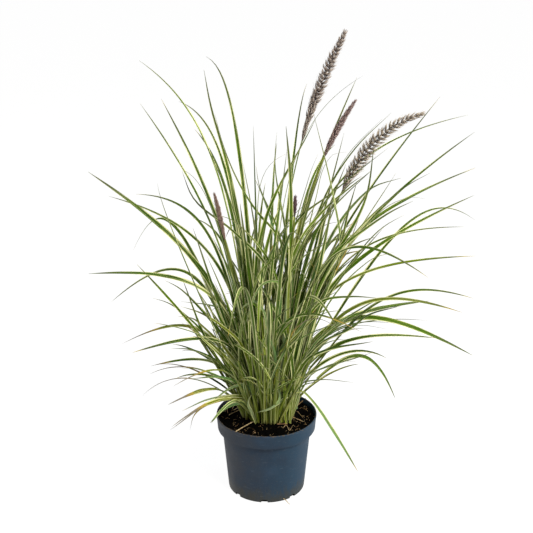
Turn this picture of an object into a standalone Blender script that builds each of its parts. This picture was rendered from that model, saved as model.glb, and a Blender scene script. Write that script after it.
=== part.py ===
"""A clump of variegated fountain grass in a plastic nursery pot.

Metres, +Z up. The origin is the centre of the pot's underside, and -Y is the front.
The grass is made of strands: each leaf and each flower stalk follows one curve that
starts in the crown, rises, bends over and ends at its tip.
"""

import math

import bmesh
import bpy
import numpy as np

MM = 0.001
GAP = 0.3 * MM  # clearance between pieces that touch

# Pot: the 19 cm rim is the driving size.
RIM_RADIUS = 95.0 * MM
POT_HEIGHT = 153.0 * MM
BASE_RADIUS = 73.3 * MM
NECK_RADIUS = 84.0 * MM  # body just under the rim band
BAND_FOOT_RADIUS = 92.8 * MM
BAND_FOOT = 125.0 * MM  # height of the ledge under the rim band
WALL = 1.6 * MM
LIP = 0.9 * MM  # radius of the rounded edge at the top
FLOOR = 2.0 * MM
POT_SIDES = 56

NOTCHES = 8
NOTCH_WIDTH = 12.0 * MM
NOTCH_HEIGHT = 6.5 * MM
NOTCH_DEPTH = 5.0 * MM  # how far each notch runs in under the floor
NOTCH_TURN = math.radians(-3.0)

SOIL_TOP = 145.0 * MM
SOIL_CLEAR = 0.55 * MM  # radial clearance to the pot's wall
SOIL_SIDES = 28
SOIL_LUMP = 1.0 * MM

CROWN_RADIUS = 48.0 * MM
CROWN_EDGE = 5.0 * MM
CROWN_RISE = 12.0 * MM
SHOOT_FOOT_RADIUS = 4.4 * MM
SHOOT_TOP_RADIUS = 2.4 * MM
SHOOT_LENGTH = (72.0 * MM, 85.0 * MM)  # shortest, and what a full-height leaf adds

TIGHTNESS = 0.8  # how far a strand's inner control points lie towards its bend
LEAF_KEEL = 0.45 * MM  # half thickness at the midrib
LEAF_FOLD = 0.2  # height of the margins over the midrib, in widths
LEAF_RINGS = 10
ROLL_SWING = math.radians(52.0)
ROLL_STEP = 2.399963  # golden angle, so that neighbours turn different ways

STALK_RADIUS = 1.25 * MM
STALK_SIDES = 5
SPIKE_SIDES = 10

# Leaves: width, root radius, tip x, y, z, and how far out and how high the leaf is
# half-way along its curve. Millimetres; "out" is measured from the pot's axis.
LEAVES = {
    "leaf_left_01": (6.0, 20, -205, -80, 830, 90, 625),
    "leaf_left_02": (6.5, 12, -105, 60, 815, 58, 668),
    "leaf_left_03": (6.0, 23, -160, 120, 725, 88, 596),
    "leaf_left_04": (6.5, 26, -200, -130, 770, 96, 498),
    "leaf_left_05": (6.0, 27, -197, 170, 720, 100, 465),
    "leaf_left_06": (4.5, 19, -104, -160, 730, 58, 465),
    "leaf_left_07": (8.5, 34, -305, -40, 635, 106, 426),
    "leaf_left_08": (6.0, 30, -243, 100, 555, 108, 482),
    "leaf_left_09": (5.0, 33, -308, 190, 525, 112, 436),
    "leaf_left_10": (6.0, 31, -175, -150, 645, 190, 522),
    "leaf_left_11": (6.5, 37, -268, 215, 405, 215, 470),
    "leaf_left_12": (7.0, 40, -295, -150, 490, 104, 404),
    "leaf_left_13": (6.0, 38, -298, 90, 343, 140, 412),
    "leaf_left_14": (6.0, 42, -290, 150, 228, 143, 294),
    "leaf_left_15": (6.0, 44, -230, -140, 342, 86, 314),
    "leaf_left_16": (5.5, 36, -156, -200, 308, 115, 280),
    "leaf_left_17": (6.0, 44, -181, -60, 200, 95, 216),
    "leaf_right_01": (5.5, 44, 174, -40, 47, 73, 202),
    "leaf_right_02": (6.5, 42, 255, 80, 140, 178, 246),
    "leaf_right_03": (6.5, 41, 314, 0, 307, 130, 291),
    "leaf_right_04": (8.5, 40, 360, -110, 323, 150, 360),
    "leaf_right_05": (8.0, 39, 307, 60, 357, 108, 311),
    "leaf_right_06": (6.0, 37, 350, -130, 438, 200, 400),
    "leaf_right_07": (6.5, 36, 323, -180, 433, 165, 395),
    "leaf_right_08": (6.0, 32, 362, -70, 493, 116, 405),
    "leaf_right_09": (6.0, 33, 260, -200, 502, 135, 488),
    "leaf_right_10": (6.5, 28, 372, 30, 573, 120, 407),
    "leaf_right_11": (5.5, 30, 408, 175, 480, 273, 480),
    "leaf_right_12": (6.0, 25, 389, 120, 600, 128, 452),
    "leaf_right_13": (6.0, 22, 352, -35, 703, 134, 470),
    "leaf_right_14": (4.0, 20, 363, 90, 706, 110, 563),
    "leaf_right_15": (4.5, 18, 279, -100, 775, 114, 473),
    "leaf_right_16": (3.5, 13, 152, -120, 812, 48, 612),
    "leaf_right_17": (5.5, 15, 160, 80, 775, 58, 476),
    "leaf_front_01": (6.0, 38, -60, -285, 436, 155, 455),
    "leaf_front_02": (6.0, 30, 55, -260, 581, 135, 510),
    "leaf_front_03": (5.5, 42, 118, -262, 426, 145, 430),
    "leaf_front_04": (5.5, 27, -128, -235, 690, 160, 555),
    "leaf_front_05": (6.0, 41, 10, -300, 421, 155, 430),
    "leaf_back_01": (6.0, 40, -85, 290, 406, 160, 440),
    "leaf_back_02": (6.0, 32, 45, 300, 546, 150, 495),
    "leaf_back_03": (5.5, 41, 160, 265, 336, 155, 370),
    "leaf_back_04": (5.0, 16, 20, 190, 631, 100, 520),
    "leaf_back_05": (6.0, 27, -140, 240, 646, 130, 515),
    "leaf_back_06": (5.5, 25, 135, 240, 616, 135, 510),
    "leaf_inner_01": (5.0, 9, -22, -60, 719, 45, 450),
    "leaf_inner_02": (5.0, 7, 71, 60, 768, 60, 620),
}

# Flowers: root radius, tip x, y, z, how far out and how high half-way, spike length,
# spike radius, number of rings on the spike, and stalk radius just under it. Millimetres.
FLOWERS = {
    "tall": (8, 134, 0, 870, 43, 594, 205, 9.4, 17, 1.2),
    "middle": (10, 158, 42, 745, 73, 546, 118, 5.8, 11, 2.6),
    "right": (15, 264, -62, 741, 134, 597, 205, 11.0, 17, 1.2),
    "left": (13, -88, -95, 616, 96, 490, 95, 4.2, 8, 2.2),
    "inner": (5, 49, -62, 602, 62, 440, 42, 3.0, 5, 2.0),
}


def linear(hex_colour):
    """An sRGB hex colour as the linear RGBA that a shader takes."""
    channels = [int(hex_colour[i : i + 2], 16) / 255 for i in (1, 3, 5)]
    return [
        c / 12.92 if c <= 0.04045 else ((c + 0.055) / 1.055) ** 2.4 for c in channels
    ] + [1.0]


def add_material(piece, hex_colour, roughness):
    material = bpy.data.materials.new(piece.name)
    material.use_nodes = True
    shader = material.node_tree.nodes["Principled BSDF"]
    shader.inputs["Base Color"].default_value = linear(hex_colour)
    shader.inputs["Roughness"].default_value = roughness
    shader.inputs["Metallic"].default_value = 0.0
    material.diffuse_color = linear(hex_colour)
    piece.data.materials.append(material)


def add_piece(name, vertices, faces, smooth_angle=40.0):
    """A mesh object whose faces all point out."""
    mesh = bpy.data.meshes.new(name)
    mesh.from_pydata([tuple(v) for v in vertices], [], faces)
    work = bmesh.new()
    work.from_mesh(mesh)
    bmesh.ops.recalc_face_normals(work, faces=work.faces)
    work.to_mesh(mesh)
    work.free()
    mesh.shade_smooth()
    mesh.set_sharp_from_angle(angle=math.radians(smooth_angle))
    piece = bpy.data.objects.new(name, mesh)
    bpy.context.scene.collection.objects.link(piece)
    return piece


def lofted(rings, start=None, end=None):
    """Vertices and faces of a skin over rings of equal count. Each end closes on a
    point where one is given, and otherwise with a flat face."""
    count = len(rings[0])
    vertices = [p for ring in rings for p in ring]
    faces = []
    for k in range(len(rings) - 1):
        for i in range(count):
            j = (i + 1) % count
            a, b = k * count, (k + 1) * count
            faces.append((a + i, a + j, b + j, b + i))
    last = (len(rings) - 1) * count
    for point, first in ((start, 0), (end, last)):
        around = list(range(first, first + count))
        if point is None:
            faces.append(tuple(around))
            continue
        tip = len(vertices)
        vertices.append(point)
        faces += [(around[i], around[(i + 1) % count], tip) for i in range(count)]
    return vertices, faces


def turned(profile, sides):
    """Rings of a profile of (radius, height) turned about Z, from the axis to the axis."""
    angles = np.arange(sides) * 2 * math.pi / sides
    rings = [
        [(r * math.cos(a), r * math.sin(a), z) for a in angles] for r, z in profile[1:-1]
    ]
    return lofted(rings, (0, 0, profile[0][1]), (0, 0, profile[-1][1]))


class Strand:
    """The curve of one leaf or stalk, in the upright plane through the pot's axis and
    the tip: a cubic from the crown to its tip that passes a given point half-way."""

    def __init__(self, root_radius, x, y, z, half_out, half_height):
        across = math.hypot(x, y)
        self.out = np.array([x / across, y / across, 0.0])
        up = np.array([0.0, 0.0, 1.0])
        root = self.out * root_radius * MM + up * (SOIL_TOP + 4 * MM)
        tip = np.array([x, y, z]) * MM
        half_way = (self.out * half_out + up * half_height) * MM
        # The bend that both inner points lie towards, from the cubic's middle point.
        bend = (8 * half_way - (4 - 3 * TIGHTNESS) * (root + tip)) / (6 * TIGHTNESS)
        self.points = (
            root,
            root + TIGHTNESS * (bend - root),
            tip + TIGHTNESS * (bend - tip),
            tip,
        )
        self.side = np.array([-self.out[1], self.out[0], 0.0])
        self.steps = np.linspace(0, 1, 201)
        path = np.array([self.at(t) for t in self.steps])
        legs = np.linalg.norm(np.diff(path, axis=0), axis=1)
        self.distances = np.concatenate([[0.0], np.cumsum(legs)])
        self.length = self.distances[-1]

    def at(self, t):
        a, b, c, d = self.points
        u = 1 - t
        return u**3 * a + 3 * u * u * t * b + 3 * u * t * t * c + t**3 * d

    def tangent(self, t):
        a, b, c, d = self.points
        u = 1 - t
        slope = u * u * (b - a) + 2 * u * t * (c - b) + t * t * (d - c)
        return slope / np.linalg.norm(slope)

    def step_at(self, distance):
        """The curve's parameter this far along it."""
        return float(np.interp(distance, self.distances, self.steps))

    def frame(self, distance, roll=0.0):
        """Centre, width direction and lower-face direction at this distance."""
        t = self.step_at(distance)
        under = np.cross(self.side, self.tangent(t))
        side = math.cos(roll) * self.side + math.sin(roll) * under
        under = math.cos(roll) * under - math.sin(roll) * self.side
        return self.at(t), side, under


def round_ring(strand, distance, radius, sides, turn=0.0):
    centre, side, under = strand.frame(distance)
    angles = turn + np.arange(sides) * 2 * math.pi / sides
    return [
        centre + radius * (math.cos(a) * side + math.sin(a) * under) for a in angles
    ]


def shoot_length(tip_height):
    shortest, added = SHOOT_LENGTH
    return shortest + added * min(1.0, tip_height * MM / 0.85)


def shoot_rings(strand, length):
    """A rolled sheath: a tapered tube along the strand's foot."""
    radii = (SHOOT_FOOT_RADIUS, 0.8 * SHOOT_FOOT_RADIUS, SHOOT_TOP_RADIUS)
    return [
        round_ring(strand, share * length, radius, STALK_SIDES)
        for share, radius in zip((0.0, 0.45, 1.0), radii)
    ]


def leaf_width(share):
    """Width at this share of the blade, of its widest: narrow at the sheath, widest
    a third of the way along, then a long taper."""
    return (0.6 + 0.4 * min(1.0, share / 0.3)) * (1 - share**2.5) ** 0.8


def leaf_roll(index, share):
    """Blades turn about their midrib, each by its own amount, more towards the tip."""
    return ROLL_SWING * math.sin(ROLL_STEP * index) * (0.45 + 0.55 * share)


def add_leaf(name, index, width, strand, start):
    """A folded blade with a keel, from its sheath's top to a sharp tip."""
    rings = []
    for k in range(LEAF_RINGS):
        share = k / LEAF_RINGS
        distance = start + share * (strand.length - start)
        centre, side, under = strand.frame(distance, leaf_roll(index, share))
        half = width * MM * leaf_width(share) / 2
        keel = LEAF_KEEL * math.sqrt(leaf_width(share))
        lift = LEAF_FOLD * 2 * half
        rings.append(
            [
                centre - half * side - lift * under,
                centre + keel * under,
                centre + half * side - lift * under,
                centre - keel * under,
            ]
        )
    return add_piece(name, *lofted(rings, end=strand.at(1.0)), smooth_angle=50)


def add_stalk(name, strand, start, end, radius_at_top):
    rings = []
    for share in (0.0, 0.25, 0.5, 0.7, 0.85, 1.0):
        swell = max(0.0, share - 0.5) / 0.5
        radius = STALK_RADIUS + (radius_at_top * MM - STALK_RADIUS) * swell
        distance = start + share * (end - start)
        rings.append(round_ring(strand, distance, radius, STALK_SIDES))
    return add_piece(name, *lofted(rings))


def add_spike(name, strand, start, radius, count):
    """A bottlebrush spike: slim where it leaves the stalk, fullest half-way up and
    tapering to the tip, in rings of tufts, wide and narrow in turn."""
    rings = []
    for k in range(count):
        share = k / count
        body = 0.18 + 0.82 * math.sin(math.pi * share)
        tuft = 1.12 if k % 2 else 0.82
        distance = start + share * (strand.length - start)
        turn = math.pi / SPIKE_SIDES * (k // 2 % 2)
        rings.append(
            round_ring(strand, distance, radius * MM * body * tuft, SPIKE_SIDES, turn)
        )
    return add_piece(name, *lofted(rings, end=strand.at(1.0)), smooth_angle=25)


def pot_profile():
    """The pot's section: out along the underside, up the outside, over the lip, down
    the inside."""
    lip_outer, lip_inner = RIM_RADIUS, RIM_RADIUS - 2.4 * MM
    return [
        (0, 0),
        (BASE_RADIUS - 1.5 * MM, 0),
        (BASE_RADIUS + 0.1 * MM, 1.5 * MM),
        (NECK_RADIUS, BAND_FOOT - 1.2 * MM),
        (NECK_RADIUS + 0.6 * MM, BAND_FOOT - 0.2 * MM),
        (BAND_FOOT_RADIUS - 0.8 * MM, BAND_FOOT),
        (BAND_FOOT_RADIUS, BAND_FOOT + 0.9 * MM),
        (lip_outer - 0.4 * MM, POT_HEIGHT - 4.5 * MM),
        (lip_outer, POT_HEIGHT - 3.4 * MM),
        (lip_outer, POT_HEIGHT - LIP),
        (lip_outer - LIP, POT_HEIGHT),
        (lip_inner + 0.5 * LIP, POT_HEIGHT),
        (lip_inner, POT_HEIGHT - LIP),
        (BAND_FOOT_RADIUS - WALL, BAND_FOOT + WALL + 0.5 * MM),
        (NECK_RADIUS - WALL, BAND_FOOT + WALL),
        (BASE_RADIUS - WALL, FLOOR + 1.0 * MM),
        (BASE_RADIUS - WALL - 1.0 * MM, FLOOR),
        (0, FLOOR),
    ]


def add_notch_cutter():
    """Blocks that cut the drainage notches out of the pot's foot."""
    vertices, faces = [], []
    inner = BASE_RADIUS - NOTCH_DEPTH
    outer = BASE_RADIUS + 8 * MM
    for k in range(NOTCHES):
        angle = NOTCH_TURN + k * 2 * math.pi / NOTCHES
        c, s = math.cos(angle), math.sin(angle)
        corners = [
            (r * c - w * s, r * s + w * c, z)
            for z in (-4 * MM, NOTCH_HEIGHT)
            for r, w in (
                (inner, -NOTCH_WIDTH / 2),
                (outer, -NOTCH_WIDTH / 2),
                (outer, NOTCH_WIDTH / 2),
                (inner, NOTCH_WIDTH / 2),
            )
        ]
        f = len(vertices)
        vertices += corners
        faces += [
            (f, f + 3, f + 2, f + 1),
            (f + 4, f + 5, f + 6, f + 7),
            (f, f + 1, f + 5, f + 4),
            (f + 1, f + 2, f + 6, f + 5),
            (f + 2, f + 3, f + 7, f + 6),
            (f + 3, f, f + 4, f + 7),
        ]
    cutter = add_piece("notch_cutter", vertices, faces)
    cutter.hide_render = True
    cutter.display_type = "WIRE"
    return cutter


def add_pot():
    pot = add_piece("pot", *turned(pot_profile(), POT_SIDES), smooth_angle=30)
    cut = pot.modifiers.new("drainage", "BOOLEAN")
    cut.operation = "DIFFERENCE"
    cut.solver = "EXACT"
    cut.object = add_notch_cutter()
    add_material(pot, "#36465A", 0.55)


def add_soil():
    """The root ball: it follows the pot's inside, and its top is lumpy round a level
    middle where the crown stands."""
    clear = SOIL_CLEAR
    foot = FLOOR + GAP + 0.1 * MM
    neck = BAND_FOOT + WALL + 0.6 * MM
    top_radius = RIM_RADIUS - 3.3 * MM - clear
    level = CROWN_RADIUS + 3 * MM
    profile = [
        (0, foot),
        (BASE_RADIUS - WALL - 1.2 * MM - clear, foot),
        (BASE_RADIUS - WALL - clear, foot + 1.2 * MM),
        (NECK_RADIUS - WALL - clear, neck),
        (BAND_FOOT_RADIUS - WALL - clear, neck + 0.8 * MM),
        (top_radius, SOIL_TOP - 1 * MM),
        (top_radius - 9 * MM, SOIL_TOP),
        (top_radius - 22 * MM, SOIL_TOP),
        (level, SOIL_TOP),
        (0, SOIL_TOP),
    ]
    vertices, faces = turned(profile, SOIL_SIDES)
    for i, (x, y, z) in enumerate(vertices):
        radius = math.hypot(x, y)
        if z > SOIL_TOP - 2 * MM and radius > level + 1 * MM:
            lump = math.sin(190 * x + 2.0) * math.cos(150 * y - 1.0) + 0.6 * math.sin(
                7.3 * i
            )
            vertices[i] = (x, y, z + SOIL_LUMP * lump)
    add_material(add_piece("soil", vertices, faces, 30), "#1D1712", 0.95)


def add_crown(shoots):
    """The shoots' feet on a low root crown, joined in one body."""
    base = SOIL_TOP + GAP
    profile = [
        (0, base),
        (CROWN_RADIUS, base),
        (CROWN_RADIUS, base + CROWN_EDGE),
        (0.6 * CROWN_RADIUS, base + 0.8 * CROWN_RISE),
        (0, base + CROWN_RISE),
    ]
    crown = add_piece("crown", *turned(profile, 20))
    vertices, faces = [], []
    for rings in shoots:
        more, around = lofted(rings)
        faces += [tuple(i + len(vertices) for i in face) for face in around]
        vertices += more
    bundle = add_piece("shoot_bundle", vertices, faces)
    bundle.hide_render = True
    bundle.display_type = "WIRE"
    join = crown.modifiers.new("shoots", "BOOLEAN")
    join.operation = "UNION"
    join.solver = "EXACT"
    join.use_self = True
    join.object = bundle
    add_material(crown, "#7F8A45", 0.6)


def add_grass():
    """Leaves, stalks and spikes, each starting just over its own shoot."""
    shoots = []
    greens = ("#6F8F3C", "#7D9A48", "#5F8033")
    for index, (name, (width, *route)) in enumerate(LEAVES.items()):
        strand = Strand(*route)
        top = shoot_length(route[3])
        shoots.append(shoot_rings(strand, top))
        leaf = add_leaf(name, index, width, strand, top + GAP)
        add_material(leaf, greens[index % len(greens)], 0.5)
    for name, (*route, spike, radius, rings, neck) in FLOWERS.items():
        strand = Strand(*route)
        top = shoot_length(route[3])
        shoots.append(shoot_rings(strand, top))
        foot = strand.length - spike * MM
        stalk = add_stalk(f"stalk_{name}", strand, top + GAP, foot - GAP, neck)
        add_material(stalk, "#8A8A50", 0.55)
        add_material(
            add_spike(f"spike_{name}", strand, foot, radius, rings), "#6B5750", 0.85
        )
    add_crown(shoots)


def main():
    for found in list(bpy.data.objects):
        bpy.data.objects.remove(found, do_unlink=True)
    add_pot()
    add_soil()
    add_grass()


main()
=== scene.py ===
"""The looks of a clump of variegated fountain grass in a plastic nursery pot.

Metres, +Z up, -Y to the front. The solids are the fixed frame: a leaf, shoot or stalk
that has a solid follows the same strand as it, a curve from the crown to its tip.
"""

import math

import bpy
import numpy as np
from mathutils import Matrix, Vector, noise


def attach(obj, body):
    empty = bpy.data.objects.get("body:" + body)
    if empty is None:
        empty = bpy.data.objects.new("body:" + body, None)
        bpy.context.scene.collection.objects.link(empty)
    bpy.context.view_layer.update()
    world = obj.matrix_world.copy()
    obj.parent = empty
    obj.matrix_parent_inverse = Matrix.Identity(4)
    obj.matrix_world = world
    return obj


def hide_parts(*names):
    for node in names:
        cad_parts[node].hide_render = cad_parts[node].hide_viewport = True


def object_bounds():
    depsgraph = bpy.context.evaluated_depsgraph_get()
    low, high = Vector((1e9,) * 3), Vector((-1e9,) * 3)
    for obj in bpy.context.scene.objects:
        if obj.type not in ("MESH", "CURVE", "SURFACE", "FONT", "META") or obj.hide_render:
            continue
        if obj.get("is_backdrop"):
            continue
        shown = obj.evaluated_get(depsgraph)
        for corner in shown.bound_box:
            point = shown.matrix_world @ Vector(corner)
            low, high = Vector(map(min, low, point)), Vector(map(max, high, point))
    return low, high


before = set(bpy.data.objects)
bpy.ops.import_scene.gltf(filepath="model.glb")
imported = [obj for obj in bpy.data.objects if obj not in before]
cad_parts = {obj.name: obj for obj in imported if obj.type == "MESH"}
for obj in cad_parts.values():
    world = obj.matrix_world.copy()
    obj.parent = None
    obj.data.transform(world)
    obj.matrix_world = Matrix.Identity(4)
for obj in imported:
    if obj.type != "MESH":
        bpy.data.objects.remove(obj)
cad_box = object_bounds()

MM = 0.001
RIGHT = np.array([1.0, 0.0, 0.0])
UP = np.array([0.0, 0.0, 1.0])
GOLDEN = 2.399963  # golden angle, so that neighbours never line up

# The camera: the photograph's place, tilt and lens, and its frame in pixels.
CAMERA = np.array([0.0, -1.766, 1.092])
PITCH = math.radians(20.03)
LENS, SENSOR, FRAME = 70.31, 36.0, 533
FOCUS = FRAME * LENS / SENSOR
AHEAD = np.array([0.0, math.cos(PITCH), -math.sin(PITCH)])
ABOVE = np.array([0.0, math.sin(PITCH), math.cos(PITCH)])

# Pot and soil, as in the solids, and how far out the shoots stand.
RIM_RADIUS = 95.0 * MM
POT_HEIGHT = 153.0 * MM
BASE_RADIUS = 73.3 * MM
NECK_RADIUS = 84.0 * MM
BAND_FOOT_RADIUS = 92.8 * MM
BAND_FOOT = 125.0 * MM
WALL = 1.6 * MM
FLOOR = 2.0 * MM
NOTCHES = 8
NOTCH_WIDTH = 12.0 * MM
NOTCH_HEIGHT = 6.5 * MM
NOTCH_DEPTH = 5.0 * MM
NOTCH_TURN = math.radians(-3.0)
POT_SIDES = 176
SOIL_TOP = 145.0 * MM
SOIL_CLEAR = 0.55 * MM
MOUND_RISE = 6.0 * MM  # the soil heaped up round the shoots
MOUND_TOP, MOUND_FOOT = 44.0 * MM, 60.0 * MM  # radii of its level top and of its foot
LOOSE_REACH = 90.0 * MM  # how far out loose bits lie on the soil
CROWN_RADIUS = 42.0 * MM
STRAND_FOOT = SOIL_TOP + 4 * MM
TIGHTNESS = 0.8

SHOOT_LENGTH = (72.0 * MM, 85.0 * MM)  # shortest, and what a full-height leaf adds
FULL_HEIGHT = 850.0
BLADE_THICK = 0.34 * MM
BROADER = 1.25  # a blade is wider than its solid by the curl of its margins
EXTRA_SHOOTS = 84
SKIRT_LEAVES = 40
PEAT_CRUMBS = 2600
PEAT_FIBRES = 130
LOOSE_STRAWS = 9
STUDIO_REACH = 600.0  # so far that its edge is lost

# Leaves of the solids, in mm: width, root radius, tip x, y, z, and how far out from the
# axis and how high the leaf is half-way.
LEAVES = {
    "left_01": (6.0, 20, -205, -80, 830, 90, 625),
    "left_02": (6.5, 12, -105, 60, 815, 58, 668),
    "left_03": (6.0, 23, -160, 120, 725, 88, 596),
    "left_04": (6.5, 26, -200, -130, 770, 96, 498),
    "left_05": (6.0, 27, -197, 170, 720, 100, 465),
    "left_06": (4.5, 19, -104, -160, 730, 58, 465),
    "left_07": (8.5, 34, -305, -40, 635, 106, 426),
    "left_08": (6.0, 30, -243, 100, 555, 108, 482),
    "left_09": (5.0, 33, -308, 190, 525, 112, 436),
    "left_10": (6.0, 31, -175, -150, 645, 190, 522),
    "left_11": (6.5, 37, -268, 215, 405, 215, 470),
    "left_12": (7.0, 40, -295, -150, 490, 104, 404),
    "left_13": (6.0, 38, -298, 90, 343, 140, 412),
    "left_14": (6.0, 42, -290, 150, 228, 143, 294),
    "left_15": (6.0, 44, -230, -140, 342, 86, 314),
    "left_16": (5.5, 36, -156, -200, 308, 115, 280),
    "left_17": (6.0, 44, -181, -60, 200, 95, 216),
    "right_01": (5.5, 44, 174, -40, 47, 73, 202),
    "right_02": (6.5, 42, 255, 80, 140, 178, 246),
    "right_03": (6.5, 41, 314, 0, 307, 130, 291),
    "right_04": (8.5, 40, 360, -110, 323, 150, 360),
    "right_05": (8.0, 39, 307, 60, 357, 108, 311),
    "right_06": (6.0, 37, 350, -130, 438, 200, 400),
    "right_07": (6.5, 36, 323, -180, 433, 165, 395),
    "right_08": (6.0, 32, 362, -70, 493, 116, 405),
    "right_09": (6.0, 33, 260, -200, 502, 135, 488),
    "right_10": (6.5, 28, 372, 30, 573, 120, 407),
    "right_11": (5.5, 30, 408, 175, 480, 273, 480),
    "right_12": (6.0, 25, 389, 120, 600, 128, 452),
    "right_13": (6.0, 22, 352, -35, 703, 134, 470),
    "right_14": (4.0, 20, 363, 90, 706, 110, 563),
    "right_15": (4.5, 18, 279, -100, 775, 114, 473),
    "right_16": (3.5, 13, 152, -120, 812, 48, 612),
    "right_17": (5.5, 15, 160, 80, 775, 58, 476),
    "front_01": (6.0, 38, -60, -285, 436, 155, 455),
    "front_02": (6.0, 30, 55, -260, 581, 135, 510),
    "front_03": (5.5, 42, 118, -262, 426, 145, 430),
    "front_04": (5.5, 27, -128, -235, 690, 160, 555),
    "front_05": (6.0, 41, 10, -300, 421, 155, 430),
    "back_01": (6.0, 40, -85, 290, 406, 160, 440),
    "back_02": (6.0, 32, 45, 300, 546, 150, 495),
    "back_03": (5.5, 41, 160, 265, 336, 155, 370),
    "back_04": (5.0, 16, 20, 190, 631, 100, 520),
    "back_05": (6.0, 27, -140, 240, 646, 130, 515),
    "back_06": (5.5, 25, 135, 240, 616, 135, 510),
    "inner_01": (5.0, 9, -22, -60, 719, 45, 450),
    "inner_02": (5.0, 7, 71, 60, 768, 60, 620),
}

# How pale and how dry single leaves are: tone from 0 olive over green and grey-green to
# 1 cream, and the share of the blade at which it starts to wither.
LEAF_TONES = {
    "left_02": (0.62, 0.97),
    "left_14": (0.08, 0.60),
    "left_15": (0.55, 0.90),
    "left_16": (0.10, 0.55),
    "left_17": (0.04, 0.42),
    "right_01": (0.93, 0.88),
    "right_04": (0.35, 0.97),
    "right_07": (0.12, 0.88),
    "right_08": (0.15, 0.90),
}

# More long blades that show singly, on strands of their own: as the leaves, then tone
# and where they wither.
LONE_BLADES = (
    (5.5, 37, -222, -90, 485, 116, 311, 0.3, 0.95),
    (5.0, 32, -185, -200, 423, 112, 318, 0.7, 0.90),
    (4.5, 42, -225, 60, 221, 100, 243, 0.4, 0.70),
    (5.5, 30, -164, -170, 215, 110, 222, 0.02, 0.40),
    (5.0, 30, -98, -130, 200, 88, 215, 0.9, 0.97),
    (5.5, 32, 328, -120, 562, 138, 462, 0.45, 0.97),
    (5.0, 30, -150, 225, 470, 120, 420, 0.5, 0.93),
    (5.5, 34, 190, 230, 430, 140, 410, 0.3, 0.90),
    (5.0, 26, 40, 260, 380, 130, 440, 0.6, 0.95),
)

# Flowers of the solids: root radius, tip x, y, z, out and height half-way, spike length,
# spike radius, and stalk radius under it, in mm, then the share at which it is fullest.
FLOWERS = {
    "tall": (8, 134, 0, 870, 43, 594, 205, 9.4, 1.2, 0.56),
    "middle": (10, 158, 42, 745, 73, 546, 118, 5.8, 2.6, 0.45),
    "right": (15, 264, -62, 741, 134, 597, 205, 11.0, 1.2, 0.38),
    "left": (13, -88, -95, 616, 96, 490, 95, 4.2, 2.2, 0.45),
    "inner": (5, 49, -62, 602, 62, 440, 42, 3.0, 2.0, 0.45),
}

STALK_RADIUS = 1.25
WRAPPED_NECK = 1.5  # a stalk thicker than this under its spike is still in its sheath

# The finish of each spike's bristles, and their colours from foot to tip.
BRISTLES = {
    "tall": ("bristle_ripe_taupe", "6E5C52", "84736A", "9A8D82", "B8AEA4"),
    "middle": ("bristle_young_purple", "4A332F", "6E5450", "8C7270", "B09E97"),
    "right": ("bristle_ripe_tan", "7C6E60", "948675", "ACA08F", "C8BFB1"),
    "left": ("bristle_young_rose", "4E342C", "7A584C", "9C8070", "C2AF9F"),
    "inner": ("bristle_new_plum", "201216", "3C262C", "5E4248", "7E6265"),
}
RAMP = (0.0, 0.30, 0.58, 1.0)  # where those colours stand

# A spike of 9.4 mm radius: the step between its rings of tufts, tufts in a ring, a
# tuft's length and needles, and the radii of the grain in it from end to end.
SPIKE_RADIUS = 9.4
TUFT_GAP = 7.2 * MM
TUFTS = 6
TUFT_LENGTH = 16.5 * MM
NEEDLES = 62
GRAIN = np.array([0.3, 0.85, 0.65, 0.08]) * MM

# How far the dense foliage reaches, in mm: height, left, right, front and back.
HEAP = (
    (120, 45, 48, 45, 45),
    (200, 66, 68, 60, 70),
    (280, 84, 80, 80, 110),
    (360, 88, 95, 95, 140),
    (440, 80, 140, 95, 145),
    (520, 64, 165, 75, 125),
    (580, 40, 125, 45, 85),
    (640, 4, 4, 4, 4),
)

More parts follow.
